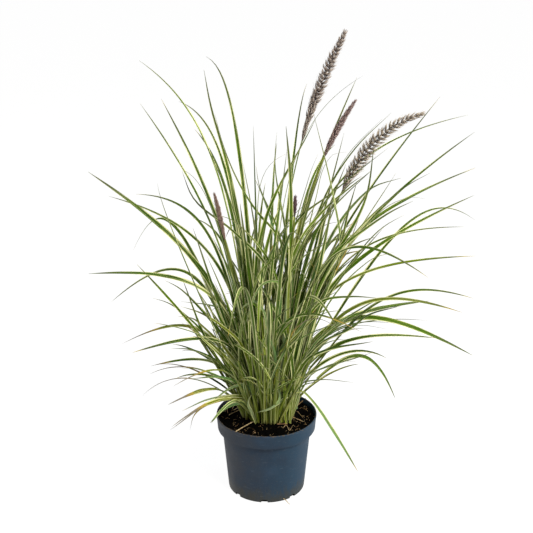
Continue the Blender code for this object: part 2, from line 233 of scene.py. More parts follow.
# Single blades that the photograph shows clear of the mass or across its front: width
# in mm, tone, where it withers, its depth at the foot and at the tip in mm, the pixel
# column of its foot, and pixels that it passes on its way to the tip.
FOOT_ROW = 405
SEEN_BLADES = {
    "upper_left": (
        (7.5, 0.45, 0.98, 0, -30, 262, ((250, 300), (226, 160), (209, 98), (204, 70))),
        (4.5, 0.6, 0.97, -25, -55, 284, ((289, 300), (287, 252), (275, 232), (258, 213),
            (241, 187), (220, 135), (215, 114))),
        (5, 0.5, 0.95, -10, -40, 264, ((260, 330), (254, 225), (243, 163))),
        (4, 0.4, 0.95, -10, -60, 280, ((287, 310), (284, 258), (277, 228), (258, 180), (256, 165))),
        (6.5, 0.3, 0.98, -20, -60, 276, ((285, 310), (287, 250), (275, 150), (277, 132))),
        (9.5, 0.66, 0.99, -25, -80, 275, ((284, 330), (290, 270), (291, 230), (290, 175), (286, 126))),
        (6.5, 0.34, 0.98, -20, -75, 257, ((255, 310), (257, 255), (262, 230), (316, 118))),
        (9, 0.42, 0.98, -25, -90, 268, ((266, 330), (270, 280), (287, 149))),
        (8.5, 0.5, 0.97, -25, -70, 262, ((256, 330), (240, 203))),
        (6.5, 0.36, 0.96, -15, -60, 258, ((257, 330), (259, 262), (273, 188))),
        (5.5, 0.3, 0.97, -15, -70, 282, ((283, 320), (274, 272), (263, 252), (243, 229),
            (232, 220), (218, 215))),
        (5.5, 0.62, 0.96, -20, -80, 284, ((284, 330), (275, 284), (264, 262), (233, 231),
            (192, 196), (182, 171))),
        (3.5, 0.5, 0.92, -10, -60, 262, ((258, 300), (257, 215), (261, 182), (266, 170),
            (275, 160), (288, 153))),
    ),
    "upper_right": (
        (6.5, 0.28, 0.97, -20, -80, 276, ((286, 300), (293, 257), (302, 237), (322, 212), (372, 170))),
        (5.5, 0.45, 0.97, -15, -40, 278, ((294, 290), (303, 243), (312, 222), (332, 194), (376, 156))),
        (7.5, 0.9, 0.98, -20, -70, 285, ((306, 300), (321, 256), (353, 205), (373, 187), (401, 178))),
        (4.5, 0.62, 0.97, 0, 20, 280, ((304, 250), (313, 225), (338, 172), (357, 146), (391, 113))),
        (4, 0.7, 0.97, 5, 50, 278, ((300, 260), (319, 208), (334, 177), (349, 153), (382, 119))),
        (4.5, 0.55, 0.96, 0, 0, 278, ((306, 285), (344, 133))),
        (3.5, 0.5, 0.93, 0, -10, 280, ((299, 275), (316, 197), (326, 163), (332, 155), (347, 152))),
        (6.5, 0.32, 0.98, -25, -110, 287, ((304, 330), (322, 282), (360, 227), (386, 202),
            (411, 183), (430, 173))),
        (7.5, 0.38, 0.98, -25, -100, 284, ((300, 320), (318, 275), (334, 254), (365, 229),
            (394, 210), (413, 201))),
        (6, 0.2, 0.97, -15, -60, 288, ((318, 310), (338, 262), (355, 238), (403, 199), (413, 197),
            (425, 199))),
        (4, 0.55, 0.95, 0, 40, 290, ((318, 315), (338, 280), (352, 261), (386, 225), (404, 215))),
        (9, 0.62, 0.98, -25, -90, 283, ((300, 335), (314, 288), (334, 194))),
        (8, 0.95, 0.98, -15, -60, 287, ((308, 325), (356, 186))),
        (6.5, 0.4, 0.98, -25, -95, 286, ((305, 320), (324, 275), (367, 194), (374, 146))),
        (7, 0.06, 0.62, -20, -80, 287, ((308, 325), (349, 243), (366, 197))),
        (4, 0.5, 0.96, 5, 60, 290, ((318, 308), (340, 262), (396, 173))),
        (5, 0.58, 0.95, -10, -60, 290, ((320, 310), (345, 272), (384, 227))),
        (6.5, 0.45, 0.98, -30, -95, 286, ((314, 320), (340, 243), (334, 202), (313, 111))),
        (3, 0.4, 0.9, 10, 80, 291, ((320, 318), (345, 282), (360, 268), (372, 259), (395, 252))),
        (6, 0.55, 0.97, -10, -50, 272, ((280, 265), (300, 217), (330, 194), (352, 176), (388, 148))),
        (7, 0.5, 0.97, -20, -80, 280, ((292, 268), (310, 230), (330, 210), (350, 190), (371, 171))),
        (6.5, 0.5, 0.96, -15, -60, 285, ((304, 290), (318, 250), (324, 222), (335, 192), (346, 164))),
        (5, 0.6, 0.95, -5, -30, 276, ((288, 260), (296, 220), (305, 190), (312, 168), (318, 154))),
        (7, 0.45, 0.97, -15, -50, 280, ((296, 260), (302, 228), (312, 195), (323, 165))),
        (7.5, 0.6, 0.97, -25, -80, 286, ((318, 290), (340, 246), (348, 212), (357, 181))),
        (6, 0.5, 0.96, -25, -85, 284, ((308, 268), (320, 244), (338, 239), (357, 228))),
        (7, 0.55, 0.97, -20, -70, 284, ((306, 262), (316, 232), (332, 207), (350, 184), (362, 176))),
    ),
    "middle": (
        (4.5, 0.3, 0.97, -30, -95, 268, ((274, 330), (283, 290), (292, 270), (303, 257),
            (326, 243), (339, 238))),
        (5, 0.7, 0.97, -30, -100, 262, ((260, 320), (264, 275), (272, 252), (302, 207), (314, 199))),
        (4.5, 0.25, 0.97, -30, -100, 257, ((250, 320), (254, 288), (262, 270), (283, 252), (303, 241))),
        (5.5, 0.12, 0.9, -35, -110, 282, ((287, 340), (292, 252), (295, 236), (318, 276))),
        (5.5, 0.95, 0.99, -35, -100, 262, ((264, 350), (260, 306), (254, 301), (247, 304),
            (241, 310), (240, 323))),
        (5.5, 0.88, 0.99, -35, -105, 272, ((278, 330), (280, 292), (277, 281), (270, 281), (242, 331))),
        (7, 0.97, 0.98, -25, -95, 276, ((284, 330), (288, 285), (292, 270), (298, 268),
            (304, 274), (313, 300), (315, 313))),
        (6, 0.5, 0.8, -40, -115, 268, ((272, 362), (279, 334), (288, 320), (300, 315), (315, 314),
            (328, 317), (362, 332))),
        (5, 0.03, 0.55, -40, -112, 276, ((284, 350), (298, 326), (310, 319), (320, 319), (341, 330))),
        (6, 0.8, 0.97, -42, -112, 266, ((266, 382), (272, 361), (284, 349), (348, 320), (366, 316))),
        (5, 0.55, 0.97, -40, -105, 262, ((268, 378), (276, 360), (298, 336), (306, 322), (316, 292))),
        (5, 0.2, 0.95, -38, -100, 286, ((280, 372), (272, 356), (254, 330), (244, 306))),
        (5, 0.75, 0.96, -38, -100, 256, ((262, 366), (272, 345), (296, 318), (310, 306), (340, 290))),
        (5.5, 0.6, 0.97, -35, -95, 290, ((292, 362), (286, 335), (276, 312), (250, 268))),
    ),
    "low_right": (
        (5, 0.72, 0.96, -15, -40, 285, ((292, 389), (302, 382.5), (318, 379.5), (355, 382.5))),
        (5.5, 0.7, 0.97, -20, -70, 284, ((290, 388), (300, 379.5), (372, 352.5))),
        (6.5, 0.45, 0.97, -25, -100, 287, ((298, 372), (310, 357), (325, 350.5), (373, 341.5))),
        (5, 0.85, 0.97, -20, -60, 289, ((303, 342), (316, 317), (330, 311.5), (362, 313.5))),
        (6.5, 0.3, 0.97, -20, -80, 288, ((300, 345), (311, 312), (322, 301), (350, 296.5), (378, 298))),
        (5, 0.8, 0.97, -20, -75, 290, ((312, 352), (332, 331), (350, 324), (370, 321.5), (393, 323))),
        (5, 0.66, 0.95, -15, -40, 290, ((313, 348), (335, 331), (356, 323.5), (405, 319), (428, 320.5))),
        (4.5, 0.9, 0.96, -20, -95, 289, ((313, 346), (362, 308), (372, 302.5), (386, 299))),
        (4.5, 0.5, 0.95, -20, -90, 290, ((318, 350), (340, 331), (356, 325.5), (388, 329))),
        (7, 0.55, 0.97, -25, -105, 285, ((304, 360), (322, 342), (352, 327), (366, 316), (400, 306))),
        (4, 0.8, 0.95, -10, -20, 292, ((298, 389), (306, 384), (317, 382))),
        (7.5, 0.28, 0.97, -20, -95, 290, ((316, 340), (338, 324), (358, 315), (378, 309), (402, 306))),
    ),
    "low_left": (
        (6.5, 0.1, 0.96, -25, -95, 256, ((249, 366), (239, 342), (226, 329.5), (198, 312), (181, 306.5))),
        (5.5, 0.06, 0.9, -20, -60, 254, ((241, 371), (203, 326.5), (194, 319), (177, 316))),
        (5, 0.65, 0.97, -20, -60, 252, ((240, 388), (216, 357), (207, 341), (182, 278))),
        (5, 0.42, 0.96, -20, -80, 255, ((245, 371), (197, 289))),
        (5.5, 0.6, 0.97, -15, -70, 257, ((247, 370), (229, 330), (193, 228))),
        (4.5, 0.85, 0.97, 0, 20, 256, ((247, 346), (239, 321), (229, 311.5), (215, 306.5), (181, 301.5))),
        (4, 0.75, 0.93, -10, -40, 250, ((233, 373), (216, 348), (190, 319), (166, 302), (152, 298))),
        (5.5, 0.35, 0.95, -10, -30, 254, ((241, 363), (227, 341), (200, 308), (176, 286), (165, 280.5))),
        (4.5, 0.8, 0.95, -15, -50, 250, ((240, 383), (228, 370), (203, 353.5), (190, 349.5), (171, 348.5))),
        (3.5, 0.85, 0.9, -15, -60, 250, ((238, 389), (214, 374), (192, 368), (181, 368.5))),
        (5.5, 0.92, 0.97, -20, -70, 252, ((245, 391), (235, 381.5), (222, 377.5), (193, 378.5))),
        (3.5, 0.97, 0.9, -20, -50, 252, ((246, 398), (236, 395.5), (222, 396.5), (208, 399.5), (182, 411))),
        (5, 0.95, 0.99, -30, -60, 257, ((252, 391), (244, 384), (235, 386), (209, 404))),
        (5.5, 0.06, 0.72, -25, -70, 251, ((246, 397.5), (234, 396), (210, 403), (194, 416), (190, 430))),
        (5.5, 0.03, 0.45, -25, -80, 252, ((246, 399), (234, 398), (211, 403), (170, 430))),
        (6.5, 0.93, 0.97, -30, -62, 253, ((249, 403.5), (242, 402.5), (225, 408), (210, 423))),
        (5.5, 0.25, 0.96, -20, -90, 250, ((238, 380), (186, 322))),
        (5, 0.08, 0.8, -20, -70, 252, ((243, 379), (219, 350), (181, 322))),
        (5.5, 0.45, 0.97, -15, -80, 254, ((245, 365), (224, 296), (207, 256))),
        (6, 0.55, 0.97, -20, -90, 256, ((248, 356), (238, 300), (231, 275), (213, 238))),
        (5.5, 0.4, 0.97, -15, -60, 258, ((250, 350), (236, 240))),
        (7, 0.5, 0.97, -25, -85, 255, ((246, 372), (219, 316), (206, 282))),
    ),
    "foot": (
        (6.5, 0.97, 0.99, -41, -80, 268, ((268, 392), (272, 384.5), (277, 386), (280, 399),
            (270, 409), (258, 412))),
        (5.5, 0.97, 0.98, -10, -80, 292, ((298, 396), (297.5, 392), (272, 407), (256, 413))),
        (5, 0.98, 0.99, -38, -72, 256, ((251, 411), (248, 405), (249, 398), (253, 394), (258, 395))),
        (5, 0.15, 0.9, -39, -76, 276, ((275, 390), (279, 381.5), (292, 379))),
        (4, 0.7, 0.97, -38, -76, 256, ((258, 380), (262, 364), (282, 384))),
        (4, 0.4, 0.95, -36, -72, 280, ((282, 396), (295, 382))),
    ),
}

# Straw bits on the soil: radius in mm, tone, then the pixels passed and the height over
# the soil there in mm.
STRAWS = (
    (1.3, 0.85, ((234, 432.6, 2), (245, 426, 2.5), (256.4, 420, 3))),
    (1.0, 0.55, ((287.5, 415, 1.5), (295, 418, 2), (302, 421, 1.5))),
    (0.9, 0.15, ((277, 424, 1.5), (287.5, 424, 1.5))),
    (1.0, 0.35, ((289.6, 412, 2), (298, 405, 2.5), (306, 398, 2))),
    (1.1, 0.75, ((229, 415, 1.5), (237, 411, 2), (245, 408, 2.5))),
    (0.9, 0.90, ((271, 415, 2), (277, 417, 4), (280, 423, 1))),
    (0.8, 0.95, ((233.7, 410, 1), (240, 406.7, 9), (254.4, 410, 22), (263.7, 414, 18), (269, 410, 20))),
    (0.7, 0.60, ((283, 428, 1), (286, 425, 4), (289, 430, 4), (292, 427, 1))),
)
# The seedling: the pixel of its foot, then its leaves: pixel, radius in mm and heading
# in degrees.
SEEDLING_FOOT = (293, 410)
SEEDLING = ((292, 404, 4.0, 20), (296, 408, 3.4, 95), (289.5, 407.5, 2.8, 160))


# ---------------------------------------------------------------- curves


def sight(u, v):
    """The line of sight through a pixel of the photograph."""
    return AHEAD + RIGHT * (u - FRAME / 2) / FOCUS + ABOVE * (FRAME / 2 - v) / FOCUS


def seen_at_depth(u, v, y):
    """The point at depth y that the camera sees at a pixel."""
    line = sight(u, v)
    return CAMERA + line * (y - CAMERA[1]) / line[1]


def seen_at_height(u, v, z):
    """The point at height z that the camera sees at a pixel."""
    line = sight(u, v)
    return CAMERA + line * (z - CAMERA[2]) / line[2]


def rooted(u, y):
    """The point of the crown at depth y that stands in a pixel column."""
    spot = np.array([0.0, y, STRAND_FOOT])
    return spot + RIGHT * ((spot - CAMERA) @ AHEAD) * (u - FRAME / 2) / FOCUS


def unit(v):
    return v / np.maximum(np.linalg.norm(v, axis=-1, keepdims=True), 1e-12)


def level(angle):
    """The level direction at this angle from the right, in radians."""
    return np.array([math.cos(angle), math.sin(angle), 0.0])


def leaning(out, lean):
    """Upright, tipped by this angle towards a level direction."""
    return out * math.sin(lean) + UP * math.cos(lean)


class Path:
    """A curve given by close points, read by the distance along it."""

    def __init__(self, points, side):
        self.points = np.asarray(points, float)
        self.side = np.asarray(side, float)
        legs = np.linalg.norm(np.diff(self.points, axis=0), axis=1)
        self.marks = np.concatenate([[0.0], np.cumsum(legs)])
        self.length = self.marks[-1]
        self.slopes = unit(np.gradient(self.points, self.marks, axis=0))

    def along(self, lines, distances):
        return np.stack([np.interp(distances, self.marks, c) for c in lines.T], -1)

    def read(self, distances, roll=0.0):
        """Centres, width directions and lower-face directions at these distances."""
        distances = np.atleast_1d(distances)
        tangents = unit(self.along(self.slopes, distances))
        sides = unit(self.side - tangents * (tangents @ self.side)[:, None])
        unders = np.cross(sides, tangents)
        c, s = (f(np.broadcast_to(roll, distances.shape))[:, None] for f in (np.cos, np.sin))
        return self.along(self.points, distances), c * sides + s * unders, c * unders - s * sides


def strand(root_radius, x, y, z, half_out, half_height):
    """The curve of a solid's leaf or stalk, in the upright plane through the pot's axis
    and the tip: a cubic that passes a given point half-way."""
    across = math.hypot(x, y)
    out = np.array([x / across, y / across, 0.0])
    root = out * root_radius * MM + UP * STRAND_FOOT
    tip = np.array([x, y, z]) * MM
    half_way = (out * half_out + UP * half_height) * MM
    bend = (8 * half_way - (4 - 3 * TIGHTNESS) * (root + tip)) / (6 * TIGHTNESS)
    b, c = root + TIGHTNESS * (bend - root), tip + TIGHTNESS * (bend - tip)
    t = np.linspace(0, 1, 201)[:, None]
    u = 1 - t
    points = u**3 * root + 3 * u * u * t * b + 3 * u * t * t * c + t**3 * tip
    return Path(points, (-out[1], out[0], 0.0))


def through(points, side, steps=12):
    """A smooth curve through a few points."""
    p = np.asarray(points, float)
    legs = np.linalg.norm(np.diff(p, axis=0), axis=1)
    slopes = np.gradient(p, np.concatenate([[0.0], np.cumsum(legs)]), axis=0)
    t = np.linspace(0, 1, steps, endpoint=False)[:, None]
    line = []
    for a, b, m, n, leg in zip(p, p[1:], slopes, slopes[1:], legs):
        m, n = m * leg, n * leg
        line.append(a + t * (m + t * (3 * (b - a) - 2 * m - n + t * (2 * (a - b) + m + n))))
    return Path(np.concatenate([*line, p[-1:]]), side)


def drooping(foot, direction, length, droop, power, drift=0.0, kink=(2.0, 0.0)):
    """A line that bends over under its own weight: its angle from upright grows along
    it, and at a kink it drops at once."""
    s = np.linspace(0, 1, 41)
    heading = math.atan2(direction[1], direction[0]) + drift * s
    lean = math.acos(direction[2]) + droop * s**power + kink[1] * (s > kink[0])
    lean = np.minimum(lean, math.radians(172))
    flat = np.stack([np.cos(heading), np.sin(heading), 0 * s], -1)
    steps = np.sin(lean)[:, None] * flat + np.cos(lean)[:, None] * UP
    points = foot + np.concatenate([[np.zeros(3)], np.cumsum(steps[:-1], axis=0)]) * length / 40
    middle = heading[20]
    return Path(points, (-math.sin(middle), math.cos(middle), 0.0))


# ---------------------------------------------------------------- meshes


class Stock:
    """Skins gathered as arrays, with the numbers at each point that the materials
    read, until they are made into one piece."""

    def __init__(self):
        self.verts, self.quads, self.tris, self.creases = [], [], [], []
        self.fields = {}
        self.count = 0

    def add(self, verts, quads, tris, crease=0, **fields):
        """crease marks the points of sharp edges: an edge between two points of the
        same mark over 0 is sharp."""
        n = len(verts)
        self.verts.append(verts)
        self.quads.append(np.reshape(quads, (-1, 4)).astype(int) + self.count)
        self.tris.append(np.reshape(tris, (-1, 3)).astype(int) + self.count)
        self.creases.append(np.broadcast_to(crease, n))
        for name, values in fields.items():
            self.fields.setdefault(name, []).append(np.broadcast_to(values, n))
        self.count += n

    def make(self, name, finish):
        verts, quads, tris = (np.concatenate(a) for a in (self.verts, self.quads, self.tris))
        corners = np.concatenate([quads.ravel(), tris.ravel()]).astype(np.int32)
        starts = np.concatenate([np.arange(len(quads)) * 4, 4 * len(quads) + np.arange(len(tris)) * 3])
        mesh = bpy.data.meshes.new(name)
        mesh.vertices.add(len(verts))
        mesh.vertices.foreach_set("co", verts.ravel().astype(np.float32))
        mesh.loops.add(len(corners))
        mesh.loops.foreach_set("vertex_index", corners)
        mesh.polygons.add(len(starts))
        mesh.polygons.foreach_set("loop_start", starts.astype(np.int32))
        mesh.update(calc_edges=True)
        mesh.shade_smooth()
        for field, values in self.fields.items():
            layer = mesh.attributes.new(field, "FLOAT", "POINT")
            layer.data.foreach_set("value", np.concatenate(values).astype(np.float32))
        ends = np.empty(len(mesh.edges) * 2, np.int32)
        mesh.edges.foreach_get("vertices", ends)
        first, second = np.concatenate(self.creases)[ends.reshape(-1, 2).T]
        sharp = mesh.attributes.new("sharp_edge", "BOOLEAN", "EDGE")
        sharp.data.foreach_set("value", (first == second) & (first > 0))
        mesh.materials.append(finish)
        piece = bpy.data.objects.new(name, mesh)
        bpy.context.scene.collection.objects.link(piece)
        return piece


def sweep(centres, sides, unders, section):
    """A closed skin round a line of centres: section gives, ring by ring, the offsets
    along side and under, in the turn from side to under."""
    rings, spots = section.shape[:2]
    verts = centres[:, None] + sides[:, None] * section[..., :1] + unders[:, None] * section[..., 1:]
    row = np.arange(rings - 1)[:, None] * spots
    spot = np.arange(spots)
    after = (spot + 1) % spots
    quads = np.stack([row + spot, row + spots + spot, row + spots + after, row + after], -1)
    fan = np.stack([0 * spot[1:-1], spot[1:-1], spot[2:]], -1)
    tris = np.concatenate([fan, fan[:, ::-1] + (rings - 1) * spots])
    return verts.reshape(-1, 3), quads, tris


def round_section(radii, spots, flat=1.0):
    angles = np.arange(spots) * 2 * math.pi / spots
    ring = np.stack([np.cos(angles), flat * np.sin(angles)], -1)
    return np.reshape(radii, (-1, 1, 1)) * ring


def turned(profile, sides):
    """A profile of (radius, height) turned about Z, from the axis to the axis, as
    points, quads and triangles."""
    angles = np.arange(sides) * 2 * math.pi / sides
    ring = np.stack([np.cos(angles), np.sin(angles), 0 * angles], -1)
    rings = np.array([ring * r + UP * z for r, z in profile[1:-1]])
    verts = np.concatenate([rings.reshape(-1, 3), [(0, 0, profile[0][1]), (0, 0, profile[-1][1])]])
    row = np.arange(len(rings) - 1)[:, None] * sides
    spot = np.arange(sides)
    after = (spot + 1) % sides
    quads = np.stack([row + spot, row + after, row + sides + after, row + sides + spot], -1)
    foot, top = len(verts) - 2, len(verts) - 1
    last = (len(rings) - 1) * sides
    tris = np.concatenate([
        np.stack([after, spot, 0 * spot + foot], -1),
        np.stack([last + spot, last + after, 0 * spot + top], -1),
    ])
    return verts, quads, tris


# ---------------------------------------------------------------- materials


RGBA = {"data_type": "RGBA"}
SHADE = {"data_type": "RGBA", "blend_type": "MULTIPLY"}
SOFT = {"interpolation_type": "SMOOTHSTEP"}
SHARE, UNDER, OVER = 0, 6, 7  # the sockets of a Mix node for colours


def linear(code):
    """An sRGB hex value as the linear RGBA that a shader takes."""
    channels = [int(code[i : i + 2], 16) / 255 for i in (0, 2, 4)]
    return [c / 12.92 if c <= 0.04045 else ((c + 0.055) / 1.055) ** 2.4 for c in channels] + [1.0]


def node(tree, kind, settings, inputs=(), output=None):
    """Adds a shader node with its settings and its inputs, by name or in order, and
    returns one of its outputs. An input is a value, an sRGB hex colour or the output
    that feeds it. Stops are a colour ramp's."""
    made = tree.nodes.new("ShaderNode" + kind)
    for name, value in settings.items():
        if name == "stops":
            ramp = made.color_ramp.elements
            while len(ramp) < len(value):
                ramp.new(0.5)
            for element, (position, colour) in zip(ramp, value):
                element.position, element.color = position, linear(colour)
        else:
            setattr(made, name, value)
    for socket, value in inputs.items() if isinstance(inputs, dict) else enumerate(inputs):
        if isinstance(value, bpy.types.NodeSocket):
            tree.links.new(value, made.inputs[socket])
        else:
            made.inputs[socket].default_value = linear(value) if isinstance(value, str) else value
    return made.outputs[output] if output else next(o for o in made.outputs if o.enabled)


def surface(name, **constants):
    """A new material: its tree, and its shader with these constants set."""
    finish = bpy.data.materials.new(name)
    finish.use_nodes = True
    tree = finish.node_tree
    shader = tree.nodes["Principled BSDF"]
    for key, value in constants.items():
        shader.inputs[key.replace("_", " ")].default_value = value
    return finish, tree, shader


def feed(tree, shader, **sources):
    """Links the outputs that drive the shader's sockets."""
    for key, source in sources.items():
        tree.links.new(source, shader.inputs[key.replace("_", " ")])


def grown(tree):
    """What a blade's or sheath's points carry, by name, and the space of across, along
    and tone in which its streaks are drawn."""
    names = ("across", "along", "share", "tone", "dry", "under")
    carried = {name: node(tree, "Attribute", {"attribute_name": name}, output="Fac") for name in names}
    place = node(tree, "CombineXYZ", {}, [carried[name] for name in ("across", "along", "tone")])
    return carried, place


def every(size):
    """The scale of a pattern whose grain is this many mm across."""
    return 1 / (size * MM)


def streaks(tree, place, across, length, change, detail=2.0):
    """A pattern of streaks drawn out along the blade: how many lie across it, how many
    mm long they are, and how far they change with its tone."""
    stretch = (across, every(length), change)
    spread = node(tree, "VectorMath", {"operation": "MULTIPLY"}, (place, stretch))
    return node(tree, "TexNoise", {}, {"Vector": spread, "Scale": 1.0, "Detail": detail, "Roughness": 0.55})


def layered(tree, colour, *layers):
    """The colour with layers over it. A layer is the value that lays it on, where it
    starts and is full, its share there, and its colour."""
    for value, start, full, most, over in layers:
        share = node(tree, "MapRange", SOFT, (value, start, full, 0.0, most))
        colour = node(tree, "Mix", RGBA, {SHARE: share, UNDER: colour, OVER: over})
    return colour


def waxy_leaf():
    """Grass blade, grown: a waxy skin over long raised veins, with a green middle and
    cream margins. It gives the eye a satin stripe that never ends straight."""
    finish, tree, shader = surface("variegated_blade_waxy", Roughness=0.45, Specular_IOR_Level=0.14)
    carried, place = grown(tree)
    # A green streak is about 1 mm wide on a 7 mm blade.
    long_streaks = streaks(tree, place, 7.0, 62.5, 90.0, 3.0)
    greens = ((0.32, "182E02"), (0.45, "365606"), (0.56, "648812"), (0.70, "A8BC3C"))
    green = node(tree, "ValToRGB", {"stops": greens}, (long_streaks,))
    # What a blade's tone gives: olive, green, grey-green, cream.
    hues = (
        (0.0, "948E26"), (0.15, "728018"), (0.33, "54780E"), (0.46, "2A4604"),
        (0.62, "2C4C0C"), (0.78, "527C18"), (0.92, "64925A"), (1.0, "C2D0A4"),
    )
    hue = node(tree, "ValToRGB", {"stops": hues}, (carried["tone"],))
    colour = node(tree, "Mix", RGBA, {SHARE: 0.55, UNDER: green, OVER: hue})
    # The cream margin: about a sixth of the width each side, wandering along the blade
    # and from blade to blade, and narrower towards the tip.
    off_middle = node(tree, "Math", {"operation": "SUBTRACT"}, (carried["across"], 0.5))
    off_middle = node(tree, "Math", {"operation": "ABSOLUTE"}, (off_middle,))
    wander = streaks(tree, place, 2.5, 111.0, 61.0)
    edge = node(tree, "Math", {"operation": "MULTIPLY_ADD"}, (wander, 1.1, off_middle))
    edge = node(tree, "Math", {"operation": "MULTIPLY_ADD"}, (carried["share"], -0.07, edge))
    line = streaks(tree, place, 11.0, 200.0, 37.0, 1.0)
    # Withering: yellow, then straw, then grey-brown.
    blotch = streaks(tree, place, 1.5, 25.0, 13.0)
    wither = node(tree, "Math", {"operation": "MULTIPLY_ADD"}, (blotch, 0.3, carried["dry"]))
    deads = ((0.15, "B4AC48"), (0.5, "B29C46"), (0.85, "988858"), (1.0, "8A8270"))
    dead = node(tree, "ValToRGB", {"stops": deads}, (wither,))
    colour = layered(
        tree,
        colour,
        (edge, 0.82, 0.90, 1.0, "E0E3A4"),
        (line, 0.63, 0.70, 0.7, "DADD9C"),  # thin cream lines in some blades
        (carried["share"], 0.30, 0.0, 0.55, "86922A"),  # the yellower foot
        (carried["under"], 0.4, 1.0, 0.2, "4E6A1E"),  # the duller lower face
        (carried["share"], 0.72, 0.98, 0.7, "5A5E42"),  # the fine grey-green tip
        (wither, 0.18, 0.42, 1.0, dead),
    )
    # Veins 0.7 mm apart on a 7 mm blade.
    vein = node(tree, "Math", {"operation": "MULTIPLY"}, (carried["across"], 2 * math.pi * 7.0 / 0.7))
    vein = node(tree, "Math", {"operation": "SINE"}, (vein,))
    groove = node(tree, "MapRange", SOFT, (vein, 0.2, 1.0, 0.0, 0.2))
    colour = node(tree, "Mix", SHADE, {SHARE: groove, UNDER: colour, OVER: "3C5418"})
    rough = node(tree, "MapRange", SOFT, (carried["dry"], 0.1, 0.8, 0.45, 0.8))
    bump = node(tree, "Bump", {}, {"Height": vein, "Strength": 0.35, "Distance": 0.12 * MM})
    feed(tree, shader, Base_Color=colour, Roughness=rough, Normal=bump)
    return finish


def ribbed_sheath():
    """Leaf sheath, grown: a ribbed tube rolled round the shoot, its free edge pale and
    its foot browned by the soil. It gives the eye pale yellow-green reeds."""
    finish, tree, shader = surface("leaf_sheath_ribbed", Roughness=0.5, Specular_IOR_Level=0.15)
    carried, place = grown(tree)
    long_streaks = streaks(tree, place, 9.0, 45.5, 70.0, 3.0)
    greens = ((0.30, "2C3A06"), (0.44, "64761A"), (0.56, "A2B03A"), (0.70, "E0E49E"))
    colour = node(tree, "ValToRGB", {"stops": greens}, (long_streaks,))
    # Some shoots are older and yellower, some still pale.
    ages = ((0.0, "8E8228"), (0.35, "4E6414"), (0.7, "7C8E2C"), (1.0, "C2C886"))
    age = node(tree, "ValToRGB", {"stops": ages}, (carried["tone"],))
    colour = node(tree, "Mix", RGBA, {SHARE: 0.4, UNDER: colour, OVER: age})
    # The lowest 20 mm is browned, each shoot by its own height.
    soiled = node(tree, "Math", {"operation": "MULTIPLY_ADD"}, (long_streaks, 0.03, carried["along"]))
    colour = layered(
        tree,
        colour,
        (carried["along"], 0.05, 0.20, 0.5, "4C6C0A"),  # up the shoot, the blades' green
        (carried["across"], 0.93, 0.98, 0.75, "D2D6A2"),  # the seam
        (soiled, 0.034, 0.012, 0.8, "6B5630"),
        (carried["dry"], 0.3, 0.8, 1.0, "A0905A"),  # dead shoots
    )
    # Ribs 0.8 mm apart round a shoot of 13.6 mm girth.
    rib = node(tree, "Math", {"operation": "MULTIPLY"}, (carried["across"], 2 * math.pi * 13.6 / 0.8))
    rib = node(tree, "Math", {"operation": "SINE"}, (rib,))
    groove = node(tree, "MapRange", SOFT, (rib, 0.0, 1.0, 0.0, 0.3))
    colour = node(tree, "Mix", SHADE, {SHARE: groove, UNDER: colour, OVER: "465418"})
    bump = node(tree, "Bump", {}, {"Height": rib, "Strength": 0.5, "Distance": 0.15 * MM})
    feed(tree, shader, Base_Color=colour, Normal=bump)
    return finish


def dry_bristle(name, *colours):
    """Grass bristle, grown: dark at its foot and paling to a fine tip, with a dull silk
    sheen. It gives the eye a soft brush with dark chevrons."""
    finish, tree, shader = surface(name, Roughness=0.62, Specular_IOR_Level=0.3, Sheen_Weight=0.2)
    share = node(tree, "Attribute", {"attribute_name": "share"}, output="Fac")
    tone = node(tree, "Attribute", {"attribute_name": "tone"}, output="Fac")
    mottle = node(tree, "Math", {"operation": "MULTIPLY_ADD"}, (tone, 0.20, share))
    mottle = node(tree, "Math", {"operation": "SUBTRACT"}, (mottle, 0.10))
    colour = node(tree, "ValToRGB", {"stops": tuple(zip(RAMP, colours))}, (mottle,))
    place = node(tree, "TexCoord", {}, output="Object")
    patch = node(tree, "TexNoise", {}, {"Vector": place, "Scale": every(1.0), "Detail": 2.0})
    colour = layered(tree, colour, (patch, 0.45, 0.65, 0.35, colours[1]))
    feed(tree, shader, Base_Color=colour)
    return finish


